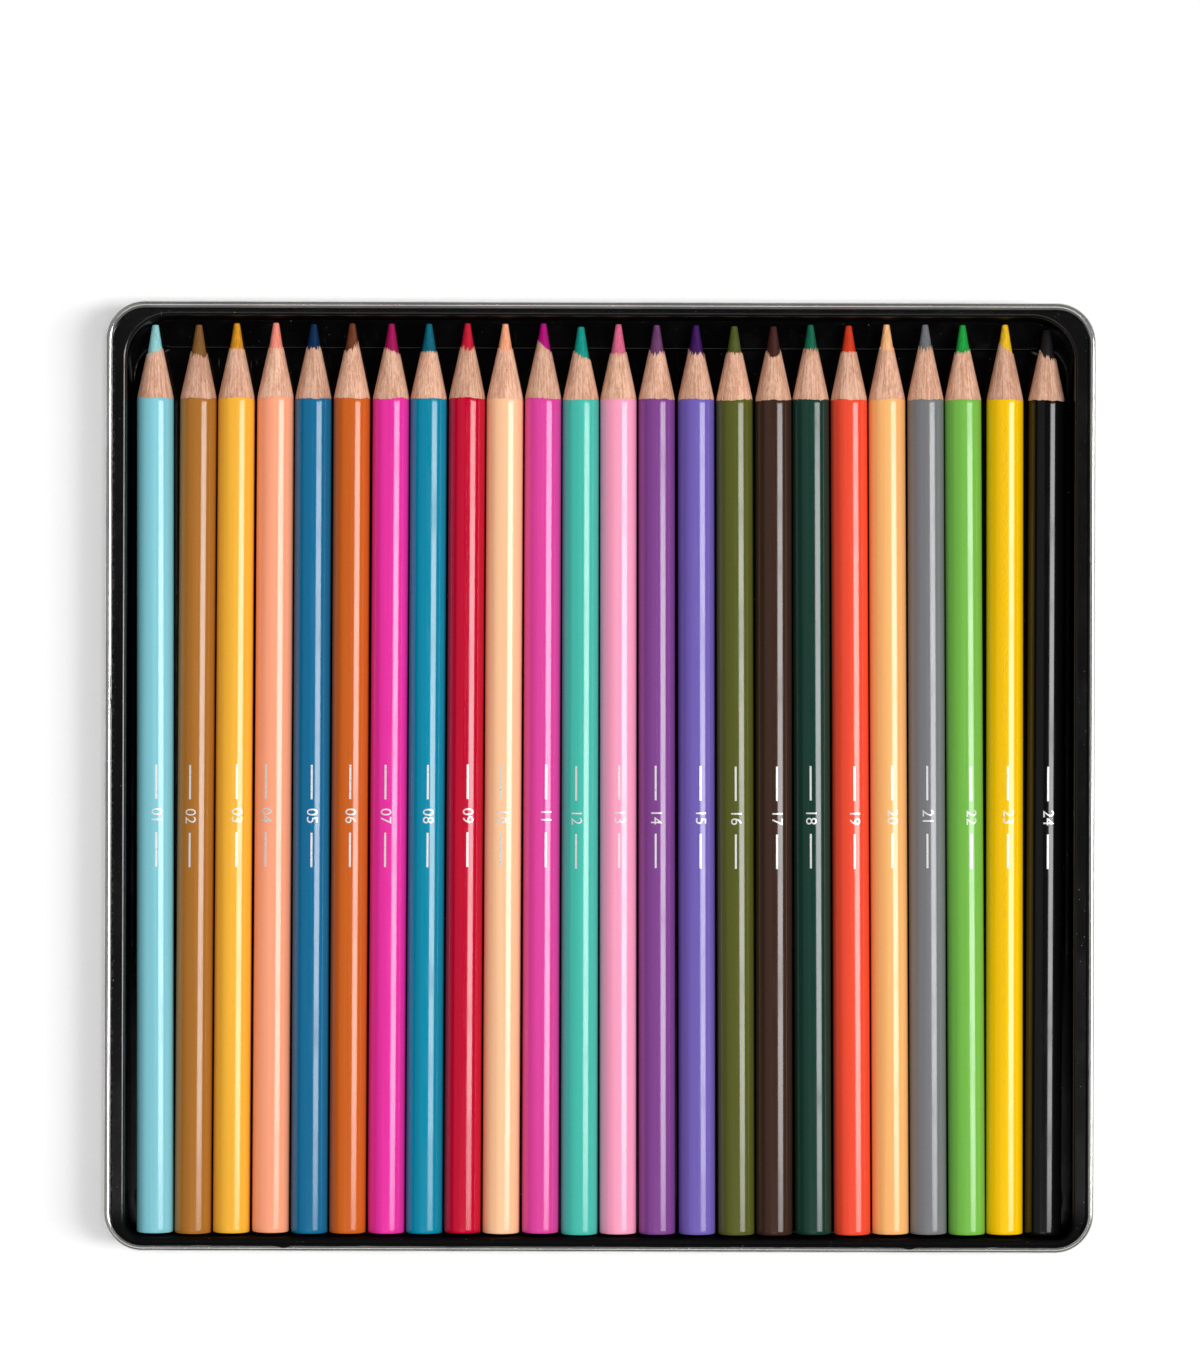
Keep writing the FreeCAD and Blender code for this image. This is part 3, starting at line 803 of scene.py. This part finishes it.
    def lay_rim(self, mesh: bmesh.types.BMesh, half: Point, corner: float, top: float) -> None:
        """Add the flange's thin uneven rim, which lies on the tin's curl except behind the points.

        Args:
            mesh: The mesh to build in.
            half: Half the tin's width and depth.
            corner: The tin's corner radius.
            top: Height of the flange.
        """
        share = mesh.verts.layers.deform.verify()
        section = [(inset, top + rise) for inset, rise in self.rim]
        last = len(self.rim) - 1
        for vert in carry_round(mesh, section, half, (corner,) * 4, self.side_steps, self.corner_steps):
            core = Vector((
                min(max(vert.co.x, corner - half[0]), half[0] - corner),
                min(max(vert.co.y, corner - half[1]), half[1] - corner),
                vert.co.z,
            ))
            out = (vert.co - core).normalized()
            ring = min(range(len(self.rim)), key=lambda number: abs(top + self.rim[number][1] - vert.co.z))
            (inset, rise), (plain_inset, plain_rise) = self.rim[ring], self.plain_rim[ring]
            start, end = self.plain_from
            plain = min(max((out.y - start) / (end - start), 0.0), 1.0)
            stray = self.stray(vert.co, out) * (1 - plain) * max(ring - 1, 0) / (last - 1)
            tab = self.tab(vert.co, out) * ring / last
            vert.co += out * ((inset - plain_inset) * plain + stray + tab * self.tab_reach[0])
            vert.co.z = top + rise + (plain_rise - rise) * plain
            vert.co.z += max(stray, 0.0) * self.ragged_lift + tab * self.tab_reach[1]
            vert[share][0] = self.rim_share[ring]

    def build(self) -> bpy.types.Object:
        """Build the tray in place of its CAD solid.

        Returns:
            The tray.
        """
        low, high = (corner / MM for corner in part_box("pencil_tray"))
        top = high.z
        outer = ((high.x - low.x) / 2, (high.y - low.y) / 2)
        self.mouth = (outer[0] - self.flange_side, outer[1] - self.flange_end)
        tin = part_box("tin_box")[1] / MM
        lip = arc((-self.lip, top - self.lip), self.lip, 90.0, 0.0, self.lip_steps)
        section = [*lip, (self.draft, self.land + self.foot_round), (self.draft + self.foot_round, self.land)]
        corners = (self.tip_corner, self.tip_corner, self.blunt_corner, self.blunt_corner)
        mesh = bmesh.new()
        share = mesh.verts.layers.deform.verify()
        for vert in carry_round(mesh, section, self.mouth, corners, self.side_steps, self.corner_steps):
            vert.co.y -= self.tip_set_back * max(vert.co.y / self.mouth[1], 0.0)
        self.lay_rim(mesh, (tin.x, tin.y), self.tin_corner, top)
        bmesh.ops.triangle_fill(mesh, use_beauty=True, edges=edges_at(mesh, top), normal=(0, 0, 1))
        self.add_floor(mesh)
        bmesh.ops.triangle_fill(mesh, use_beauty=True, edges=edges_at(mesh, self.land), normal=(0, 0, 1))
        bmesh.ops.remove_doubles(mesh, verts=mesh.verts, dist=MERGE_REACH)
        bmesh.ops.recalc_face_normals(mesh, faces=mesh.faces)
        if sum(face.normal.z * face.calc_area() for face in mesh.faces) < 0:
            bmesh.ops.reverse_faces(mesh, faces=mesh.faces)
        for vert in mesh.verts:
            vert[share][0] = vert[share].get(0, 1.0)
        tray = place_piece("tray_sheet", mesh, [self.finish.material()], "tray")
        self.thicken(tray)
        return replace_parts(tray, "pencil_tray")

    def thicken(self, tray: bpy.types.Object) -> None:
        """Give the tray its sheet, which thins out towards the rim's edge.

        Args:
            tray: The tray, with each vertex's share of the sheet.
        """
        group = tray.vertex_groups.new(name="sheet_share")
        wall = tray.modifiers.new("sheet", "SOLIDIFY")
        wall.vertex_group = group.name
        wall.thickness = self.sheet * MM
        wall.offset = -1.0
        wall.use_even_offset = True


class Cut(Enum):
    """How the sharpener left the edge between wood and core."""

    CLEAN = 0.16
    FUZZY = 0.45
    JAGGED = 0.95


class Surface(Enum):
    """What a ring of a turned shape lies on."""

    FREE = "free"
    WOOD = "wood"
    CORE = "core"


@dataclass(frozen=True)
class Ring:
    """One ring of a turned shape, in millimetres, with how far it follows the two uneven edges."""

    radius: float
    along: float
    surface: Surface = Surface.FREE
    core_follow: float = 0.0
    paint_follow: float = 0.0
    rubbed: float = 0.0


@dataclass
class Pencil:
    """One round pencil: a lacquered casing with a cut cone, its core and a foil number. In millimetres."""

    name: str
    lacquer: Colour
    pigment: Colour
    core_left: float
    core_right: float
    cut: Cut
    roll: float
    tone: float
    drift: Point
    sag: float = 0.0
    number: int = 0
    bevel: float = 0.25
    paint: float = 0.05
    tip_round: float = 0.14
    tip_wear: float = 0.3
    tip_share: float = 0.93
    end_reach: float = 0.2
    cut_lap: float = 0.65
    wood_at_core: float = 1.4
    core_at_wood: float = 1.27
    core_play: float = 0.01
    core_waves: tuple[Point, ...] = ((2.3, 0.5), (5.9, 1.0), (11.7, 0.5))
    paint_waves: tuple[Point, ...] = ((1.1, 0.3), (6.7, 0.16), (13.0, 0.1))
    core_seed: float = 3.7
    paint_seed: float = 5.3
    paint_shift: float = 40.0
    lacquer_rings: tuple[int, int] = (1, 10)
    steps: int = 128
    mark_middle: float = 80.1
    digit_size: float = 3.0
    digit_bends: int = 4
    rule_length: float = 6.6
    rule_start: float = 3.2
    rule_half: float = 0.19
    mark_cut: float = 0.22
    mark_cuts: int = 6
    foil_rise: float = 0.014
    foil_sink: float = 0.02
    matrix: Matrix = field(init=False, default_factory=Matrix)
    length: float = field(init=False, default=0.0)
    radius: float = field(init=False, default=0.0)
    core_radius: float = field(init=False, default=0.0)
    tip: float = field(init=False, default=0.0)
    edge: float = field(init=False, default=0.0)
    shoulder: float = field(init=False, default=0.0)

    def measure(self) -> None:
        """Read the pencil's axis and radii from its CAD solids."""
        core = [vert.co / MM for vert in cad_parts[f"{self.name}_core"].data.vertices]
        casing = [vert.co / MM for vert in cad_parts[f"{self.name}_barrel"].data.vertices]
        ends = []
        for level in (min(point.y for point in core), max(point.y for point in core)):
            near = [point for point in core if abs(point.y - level) < self.end_reach]
            ring = {tuple(round(part, 3) for part in point) for point in near}
            ends.append(sum((Vector(point) for point in ring), Vector()) / len(ring))
        foot, point_end = ends
        worn = [point for point in core if abs(point.y - point_end.y) < self.end_reach]
        self.tip = max((point - point_end).length for point in worn)
        for end, drift in zip(ends, self.drift):
            end.x += drift
        full_length = (point_end - foot).length
        way = (point_end - foot).normalized()
        side = way.cross(Vector((0.0, 0.0, 1.0))).normalized()
        turn = Matrix((side, way, side.cross(way))).transposed().to_4x4()
        self.matrix = Matrix.Translation(foot) @ turn
        self.length = full_length - self.tip_wear
        self.radius = (max(point.z for point in casing) - min(point.z for point in casing)) / 2
        self.core_radius = (max(point.z for point in core) - min(point.z for point in core)) / 2
        self.edge = max((point - foot).dot(way) for point in casing)
        slope = (self.core_radius - self.tip) / (full_length - self.edge)
        self.shoulder = self.edge - (self.radius - self.core_radius) / slope - self.cut_lap
        self.tip *= self.tip_share

    def lie(self, ring: Ring, along: float) -> float:
        """Radius of a ring where it lies.

        Args:
            ring: The ring.
            along: Its place along the pencil.

        Returns:
            The radius of the wood's cone, the core's cone or the ring itself.
        """
        reach = self.edge - along
        core = self.core_at_wood + reach * (self.core_at_wood - self.tip) / (self.length - self.edge)
        wood = self.wood_at_core + reach * (self.radius - self.wood_at_core) / (self.edge - self.shoulder)
        if ring.surface is Surface.CORE:
            return core
        return max(wood, core + self.paint * 0.3) if ring.surface is Surface.WOOD else ring.radius

    def core_edge(self, turn: float) -> float:
        """How far the core's edge lies from its middle place, at one turn round the pencil.

        Args:
            turn: The angle round the pencil, from its right side over its top.

        Returns:
            The shift along the pencil, towards the point if positive.
        """
        middle = (self.core_left + self.core_right) / 2
        slant = (self.core_right - self.core_left) / 2 * math.cos(turn)
        crown = self.sag * max(math.sin(turn), 0.0) ** 4
        place = Vector((math.cos(turn), math.sin(turn), self.number * self.core_seed))
        return middle + slant + crown + self.cut.value * waver(place, self.core_waves)

    def paint_edge(self, turn: float) -> float:
        """How far the lacquer's edge lies from the cone's shoulder, at one turn round the pencil."""
        place = Vector((math.cos(turn), math.sin(turn), self.number * self.paint_seed + self.paint_shift))
        return waver(place, self.paint_waves)

    def turn_shape(self, rings: Sequence[Ring], closed: bool) -> bmesh.types.BMesh:
        """Spin a profile round the pencil's axis and let its rings follow the uneven edges.

        Args:
            rings: The profile.
            closed: Whether the profile is a closed loop, which leaves a bore.

        Returns:
            The turned mesh, standing at the origin along Y.
        """
        mesh = bmesh.new()
        tag = mesh.verts.layers.int.new("ring")
        rubbed = mesh.verts.layers.float.new("rubbed")
        around = mesh.verts.layers.float_vector.new("around")
        parts = chain(mesh, [(self.lie(ring, ring.along), ring.along, 0.0) for ring in rings], closed)
        for number, vert in enumerate(parts[:len(rings)]):
            vert[tag] = number
            vert[rubbed] = rings[number].rubbed
        bmesh.ops.spin(
            mesh, geom=parts, axis=(0, 1, 0), angle=math.tau, steps=self.steps, use_merge=True
        )
        bmesh.ops.remove_doubles(mesh, verts=mesh.verts, dist=MERGE_REACH)
        for vert in mesh.verts:
            ring = rings[vert[tag]]
            turn = math.atan2(vert.co.z, vert.co.x)
            along = ring.along + ring.core_follow * self.core_edge(turn)
            along += ring.paint_follow * self.paint_edge(turn)
            radius = self.lie(ring, along)
            vert[around] = (math.cos(turn), math.sin(turn), along)
            if radius > 0:
                vert.co = (radius * math.cos(turn), along, radius * math.sin(turn))
        bmesh.ops.recalc_face_normals(mesh, faces=mesh.faces)
        return mesh

    def casing_rings(self) -> list[Ring]:
        """The casing's profile: cut end, lacquered side, cone and bore.

        Returns:
            The rings, from the bore's blunt end round to its pointed end.
        """
        full, start, reach = self.radius, self.shoulder, self.edge - self.shoulder
        wood = Surface.WOOD
        return [
            Ring(self.core_radius, 0.0),
            Ring(full - self.bevel, 0.0),
            Ring(full - self.bevel * 0.3, self.bevel * 0.32),
            Ring(full, self.bevel),
            Ring(full, self.bevel * 3),
            Ring(full, start * 0.5),
            Ring(full, start - 2.0),
            Ring(full, start - 0.7, paint_follow=0.5),
            Ring(full, start - 0.14, paint_follow=1.0),
            Ring(full - self.paint * 0.35, start - 0.04, paint_follow=1.0),
            Ring(full - self.paint, start, paint_follow=1.0),
            Ring(0.0, start + 0.6, wood, paint_follow=0.3),
            Ring(0.0, start + reach * 0.35, wood),
            Ring(0.0, start + reach * 0.62, wood, core_follow=0.3),
            Ring(0.0, self.edge - 1.5, wood, core_follow=0.7, rubbed=0.1),
            Ring(0.0, self.edge - 0.5, wood, core_follow=1.0, rubbed=0.45),
            Ring(0.0, self.edge, wood, core_follow=1.0, rubbed=0.8),
            Ring(0.0, self.edge + 0.01, Surface.CORE, core_follow=1.0, rubbed=1.0),
            Ring(self.core_radius, self.edge - 5.0),
        ]

    def core_rings(self) -> list[Ring]:
        """The core's profile: worn point, cone and the rod in the bore.

        Returns:
            The rings, from the point to the blunt end.
        """
        inner, core = self.core_radius - self.core_play, Surface.CORE
        return [
            Ring(0.0, self.length),
            Ring(self.tip * 0.5, self.length - self.tip_round * 0.1),
            Ring(self.tip * 0.82, self.length - self.tip_round * 0.4),
            Ring(0.0, self.length - self.tip_round, core),
            Ring(0.0, (self.length + self.edge) / 2, core),
            Ring(0.0, self.edge, core),
            Ring(0.0, self.edge - 1.5, core),
            Ring(inner, self.edge - 3.0),
            Ring(inner, 0.0),
            Ring(0.0, 0.0),
        ]

    def build_casing(self, wood: SharpenedWood) -> bpy.types.Object:
        """Build the casing in place of its CAD solid.

        Args:
            wood: The finish of the cut wood.

        Returns:
            The casing.
        """
        mesh = self.turn_shape(self.casing_rings(), closed=True)
        tag = mesh.verts.layers.int["ring"]
        first, last = self.lacquer_rings
        for face in mesh.faces:
            face.material_index = 0 if all(first <= vert[tag] <= last for vert in face.verts) else 1
        bmesh.ops.transform(mesh, matrix=self.matrix, verts=mesh.verts)
        lacquer = Lacquer(f"{self.name}_gloss_lacquer", self.lacquer)
        casing = place_piece(
            f"{self.name}_casing", mesh, [lacquer.material(), wood.material()],
            f"{self.name}_pencil",
        )
        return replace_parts(casing, f"{self.name}_barrel")

    def build_core(self) -> bpy.types.Object:
        """Build the core in place of its CAD solid.

        Returns:
            The core.
        """
        mesh = self.turn_shape(self.core_rings(), closed=False)
        bmesh.ops.transform(mesh, matrix=self.matrix, verts=mesh.verts)
        pigment = Pigment(f"{self.name}_pressed_pigment", self.pigment)
        core = place_piece(
            f"{self.name}_rod", mesh, [pigment.material()], f"{self.name}_pencil"
        )
        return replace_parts(core, f"{self.name}_core")

    def build_mark(self, foil: bpy.types.Material) -> bpy.types.Object:
        """Build the foil number with a plain rule on either side of it.

        Args:
            foil: The foil's material.

        Returns:
            The mark.
        """
        letters = bpy.data.curves.new(f"{self.name}_digits", "FONT")
        letters.body = f"{self.number:02d}"
        letters.size = self.digit_size
        letters.align_x = "CENTER"
        letters.align_y = "CENTER"
        letters.resolution_u = self.digit_bends
        holder = bpy.data.objects.new(letters.name, letters)
        digits = bpy.data.meshes.new_from_object(holder)
        mesh = bmesh.new()
        mesh.from_mesh(digits)
        bpy.data.objects.remove(holder)
        bpy.data.curves.remove(letters)
        bpy.data.meshes.remove(digits)
        bmesh.ops.remove_doubles(mesh, verts=mesh.verts, dist=MERGE_REACH)
        half = self.rule_length / 2
        for sign in (-1, 1):
            middle = Matrix.Translation((sign * (self.rule_start + half), 0.0, 0.0))
            rule = middle @ Matrix.Diagonal((half, self.rule_half, 1.0, 1.0))
            bmesh.ops.create_grid(mesh, x_segments=1, y_segments=1, size=1.0, matrix=rule)
        for cut in range(-self.mark_cuts, self.mark_cuts + 1):
            parts = mesh.verts[:] + mesh.edges[:] + mesh.faces[:]
            place = (0.0, cut * self.mark_cut, 0.0)
            bmesh.ops.bisect_plane(mesh, geom=parts, dist=MERGE_REACH, plane_co=place, plane_no=(0, 1, 0))
        bmesh.ops.recalc_face_normals(mesh, faces=mesh.faces)
        lifted = bmesh.ops.extrude_face_region(mesh, geom=mesh.faces[:])["geom"]
        raised = {part for part in lifted if isinstance(part, bmesh.types.BMVert)}
        for vert in mesh.verts:
            radius = self.radius + (self.foil_rise if vert in raised else -self.foil_sink)
            turn = math.radians(90.0 - self.roll) - vert.co.y / self.radius
            vert.co = (radius * math.cos(turn), self.mark_middle - vert.co.x, radius * math.sin(turn))
        bmesh.ops.recalc_face_normals(mesh, faces=mesh.faces)
        bmesh.ops.transform(mesh, matrix=self.matrix, verts=mesh.verts)
        return place_piece(f"{self.name}_number", mesh, [foil], f"{self.name}_pencil")


@dataclass
class PencilRow:
    """The row of pencils, from left to right."""

    pale_wood: Colour = (241.0, 193.0, 165.0)
    dark_wood: Colour = (200.0, 147.0, 120.0)
    grain_shift: float = 11.3
    foil: Foil = Foil("pearl_foil", (236.0, 236.0, 234.0))

    def pencils(self) -> list[Pencil]:
        """The pencils: name, two colours, core edge at left and right, cut, roll, wood tone, drift and sag.

        Returns:
            The pencils in their order.
        """
        clean, fuzzy, jagged = Cut.CLEAN, Cut.FUZZY, Cut.JAGGED
        return [
            Pencil("sky_blue", (130, 200, 212), (145, 206, 207), -1.5, -0.4, clean, 8, 0.98, (0.20, 0.15)),
            Pencil("ochre", (168, 108, 40), (128, 87, 43), -1.5, -1.5, jagged, -14, 0.92, (0.05, -0.45)),
            Pencil(
                "golden_yellow", (245, 179, 56), (214, 144, 32), -0.4, -0.4, clean, 12, 0.98, (0.00, -0.47)
            ),
            Pencil("salmon", (255, 163, 126), (249, 143, 124), -0.4, -0.4, fuzzy, -20, 1.03, (0.11, -0.50)),
            Pencil("ocean_blue", (14, 105, 148), (2, 41, 78), -0.2, -0.2, jagged, 4, 0.93, (0.13, -0.44)),
            Pencil("burnt_orange", (202, 95, 27), (108, 57, 33), -1.3, 0.6, jagged, 4, 1.01, (0.04, -0.34)),
            Pencil("magenta", (231, 48, 159), (162, 16, 84), 0.0, -1.3, fuzzy, -8, 0.97, (0.04, -0.35)),
            Pencil("teal", (0, 134, 165), (6, 99, 118), -0.8, -0.8, clean, 6, 1.00, (-0.10, -0.32)),
            Pencil("crimson", (193, 6, 47), (195, 23, 49), -0.4, -0.4, jagged, 10, 0.95, (-0.15, -0.24)),
            Pencil("peach", (254, 196, 151), (252, 168, 128), -0.4, -0.4, fuzzy, -6, 1.04, (-0.19, -0.17)),
            Pencil("orchid", (220, 66, 155), (175, 8, 119), 1.5, -1.0, clean, 14, 0.95, (-0.06, -0.27)),
            Pencil("mint", (68, 186, 169), (13, 148, 133), -0.6, -2.1, fuzzy, -12, 0.98, (0.00, -0.24)),
            Pencil("pink", (255, 160, 192), (221, 103, 139), -1.1, -1.1, fuzzy, 3, 1.00, (0.01, -0.24)),
            Pencil("purple", (126, 66, 140), (109, 61, 105), -1.0, -1.0, jagged, -4, 0.98, (0.09, -0.21)),
            Pencil("violet", (112, 94, 177), (59, 19, 88), -1.0, -1.0, jagged, 12, 0.96, (0.36, -0.33)),
            Pencil("olive", (86, 90, 33), (80, 88, 36), -0.8, -0.8, fuzzy, 0, 1.01, (0.48, -0.03)),
            Pencil("dark_brown", (60, 39, 30), (66, 33, 30), -0.4, -0.4, fuzzy, 8, 0.96, (0.36, 0.05), -1.2),
            Pencil("dark_green", (22, 57, 47), (18, 97, 72), -0.2, -0.2, jagged, -6, 0.97, (0.42, 0.00)),
            Pencil("vermilion", (239, 75, 49), (203, 56, 23), -0.6, -0.6, clean, 10, 0.97, (0.48, -0.10)),
            Pencil("apricot", (252, 183, 112), (252, 184, 128), -0.2, -0.2, fuzzy, 8, 1.01, (0.40, 0.00)),
            Pencil("grey", (118, 119, 122), (110, 113, 118), 0.0, 0.0, jagged, -2, 0.98, (0.25, 0.00)),
            Pencil("leaf_green", (115, 183, 72), (27, 155, 60), -0.8, -0.4, fuzzy, 16, 1.00, (0.20, 0.00)),
            Pencil("yellow", (248, 195, 0), (233, 183, 33), 1.1, -1.1, clean, 6, 0.94, (-0.02, -0.35)),
            Pencil("black", (12, 12, 12), (27, 27, 27), -0.6, -2.5, jagged, 6, 0.95, (-0.07, 0.02)),
        ]

    def build(self) -> list[bpy.types.Object]:
        """Build every pencil.

        Returns:
            The pieces of the row.
        """
        foil = self.foil.material()
        pieces = []
        for number, pencil in enumerate(self.pencils(), start=1):
            pencil.number = number
            pencil.measure()
            wood = SharpenedWood(
                f"{pencil.name}_cut_wood",
                tuple(level * pencil.tone for level in self.pale_wood),
                tuple(level * pencil.tone for level in self.dark_wood),
                pencil.pigment,
                number * self.grain_shift,
            )
            pieces += [pencil.build_casing(wood), pencil.build_core(), pencil.build_mark(foil)]
        return pieces


@dataclass
class Lamp:
    """One soft lamp that looks at the middle of the tin. Sizes in metres, angles in degrees."""

    name: str
    heading: float
    lean: float
    distance: float
    width: float
    length: float
    radiance: float
    along: float = 0.0
    mirrored: bool = True

    def build(self) -> bpy.types.Object:
        """Hang the lamp, leaning from straight overhead towards its heading.

        Returns:
            The lamp.
        """
        light = bpy.data.lights.new(self.name, "AREA")
        light.shape = "RECTANGLE"
        light.size = self.width
        light.size_y = self.length
        light.energy = self.radiance * math.pi * self.width * self.length
        lamp = bpy.data.objects.new(self.name, light)
        heading = Matrix.Rotation(math.radians(self.heading), 4, "Z")
        lean = Matrix.Rotation(math.radians(self.lean), 4, "Y")
        lamp.matrix_world = heading @ lean @ Matrix.Translation((0.0, self.along, self.distance))
        lamp.visible_glossy = self.mirrored
        bpy.context.scene.collection.objects.link(lamp)
        return lamp


@dataclass
class Studio:
    """A pale table, soft lamps and a camera that looks straight down. In metres."""

    floor: PaleFloor = PaleFloor("pale_table", (252.0, 252.0, 252.0))
    floor_half: float = 6.0
    surround: float = 0.02
    camera_place: tuple[float, float, float] = (0.0, 0.0188, 0.985)
    camera_roll: float = 0.16
    camera_lens: float = 135.25

    def lamps(self) -> list[Lamp]:
        """A bright strip on the right, dim panels on the left and in front, and soft light from above.

        Returns:
            The lamps.
        """
        return [
            Lamp("strip_lamp", 0.0, 39.5, 4.0, 2.32, 0.9, 12.5, along=-0.06),
            Lamp("left_panel", 180.0, 36.0, 1.8, 1.6, 3.0, 0.25),
            Lamp("front_panel", -90.0, 19.0, 2.0, 0.7, 1.2, 1.15),
            Lamp("overhead_cloth", 90.0, 2.5, 2.2, 0.6, 0.6, 21.0, mirrored=False),
            Lamp("right_cloth", 0.0, 24.0, 2.2, 0.8, 0.8, 3.2, mirrored=False),
        ]

    def build(self) -> None:
        """Set up the table, the light, the view and the camera."""
        mesh = bmesh.new()
        bmesh.ops.create_grid(mesh, x_segments=1, y_segments=1, size=self.floor_half)
        data = bpy.data.meshes.new("table_top")
        mesh.to_mesh(data)
        mesh.free()
        data.materials.append(self.floor.material())
        table = bpy.data.objects.new("table_top", data)
        bpy.context.scene.collection.objects.link(table)
        for lamp in self.lamps():
            lamp.build()
        world = bpy.data.worlds.new("studio_surround")
        world.use_nodes = True
        world.node_tree.nodes["Background"].inputs["Strength"].default_value = self.surround
        bpy.context.scene.world = world
        view = bpy.data.cameras.new("overhead_camera")
        view.lens = self.camera_lens
        camera = bpy.data.objects.new("overhead_camera", view)
        camera.location = self.camera_place
        camera.rotation_euler = (0.0, 0.0, math.radians(self.camera_roll))
        bpy.context.scene.collection.objects.link(camera)
        bpy.context.scene.camera = camera
        bpy.context.scene.view_settings.view_transform = "Standard"


def main() -> None:
    """Build the studio, the tin, the tray and the pencils."""
    logging.basicConfig(level=logging.INFO)
    Studio().build()
    TinBox().build()
    PencilTray().build()
    PencilRow().build()


if __name__ == "__main__":
    main()
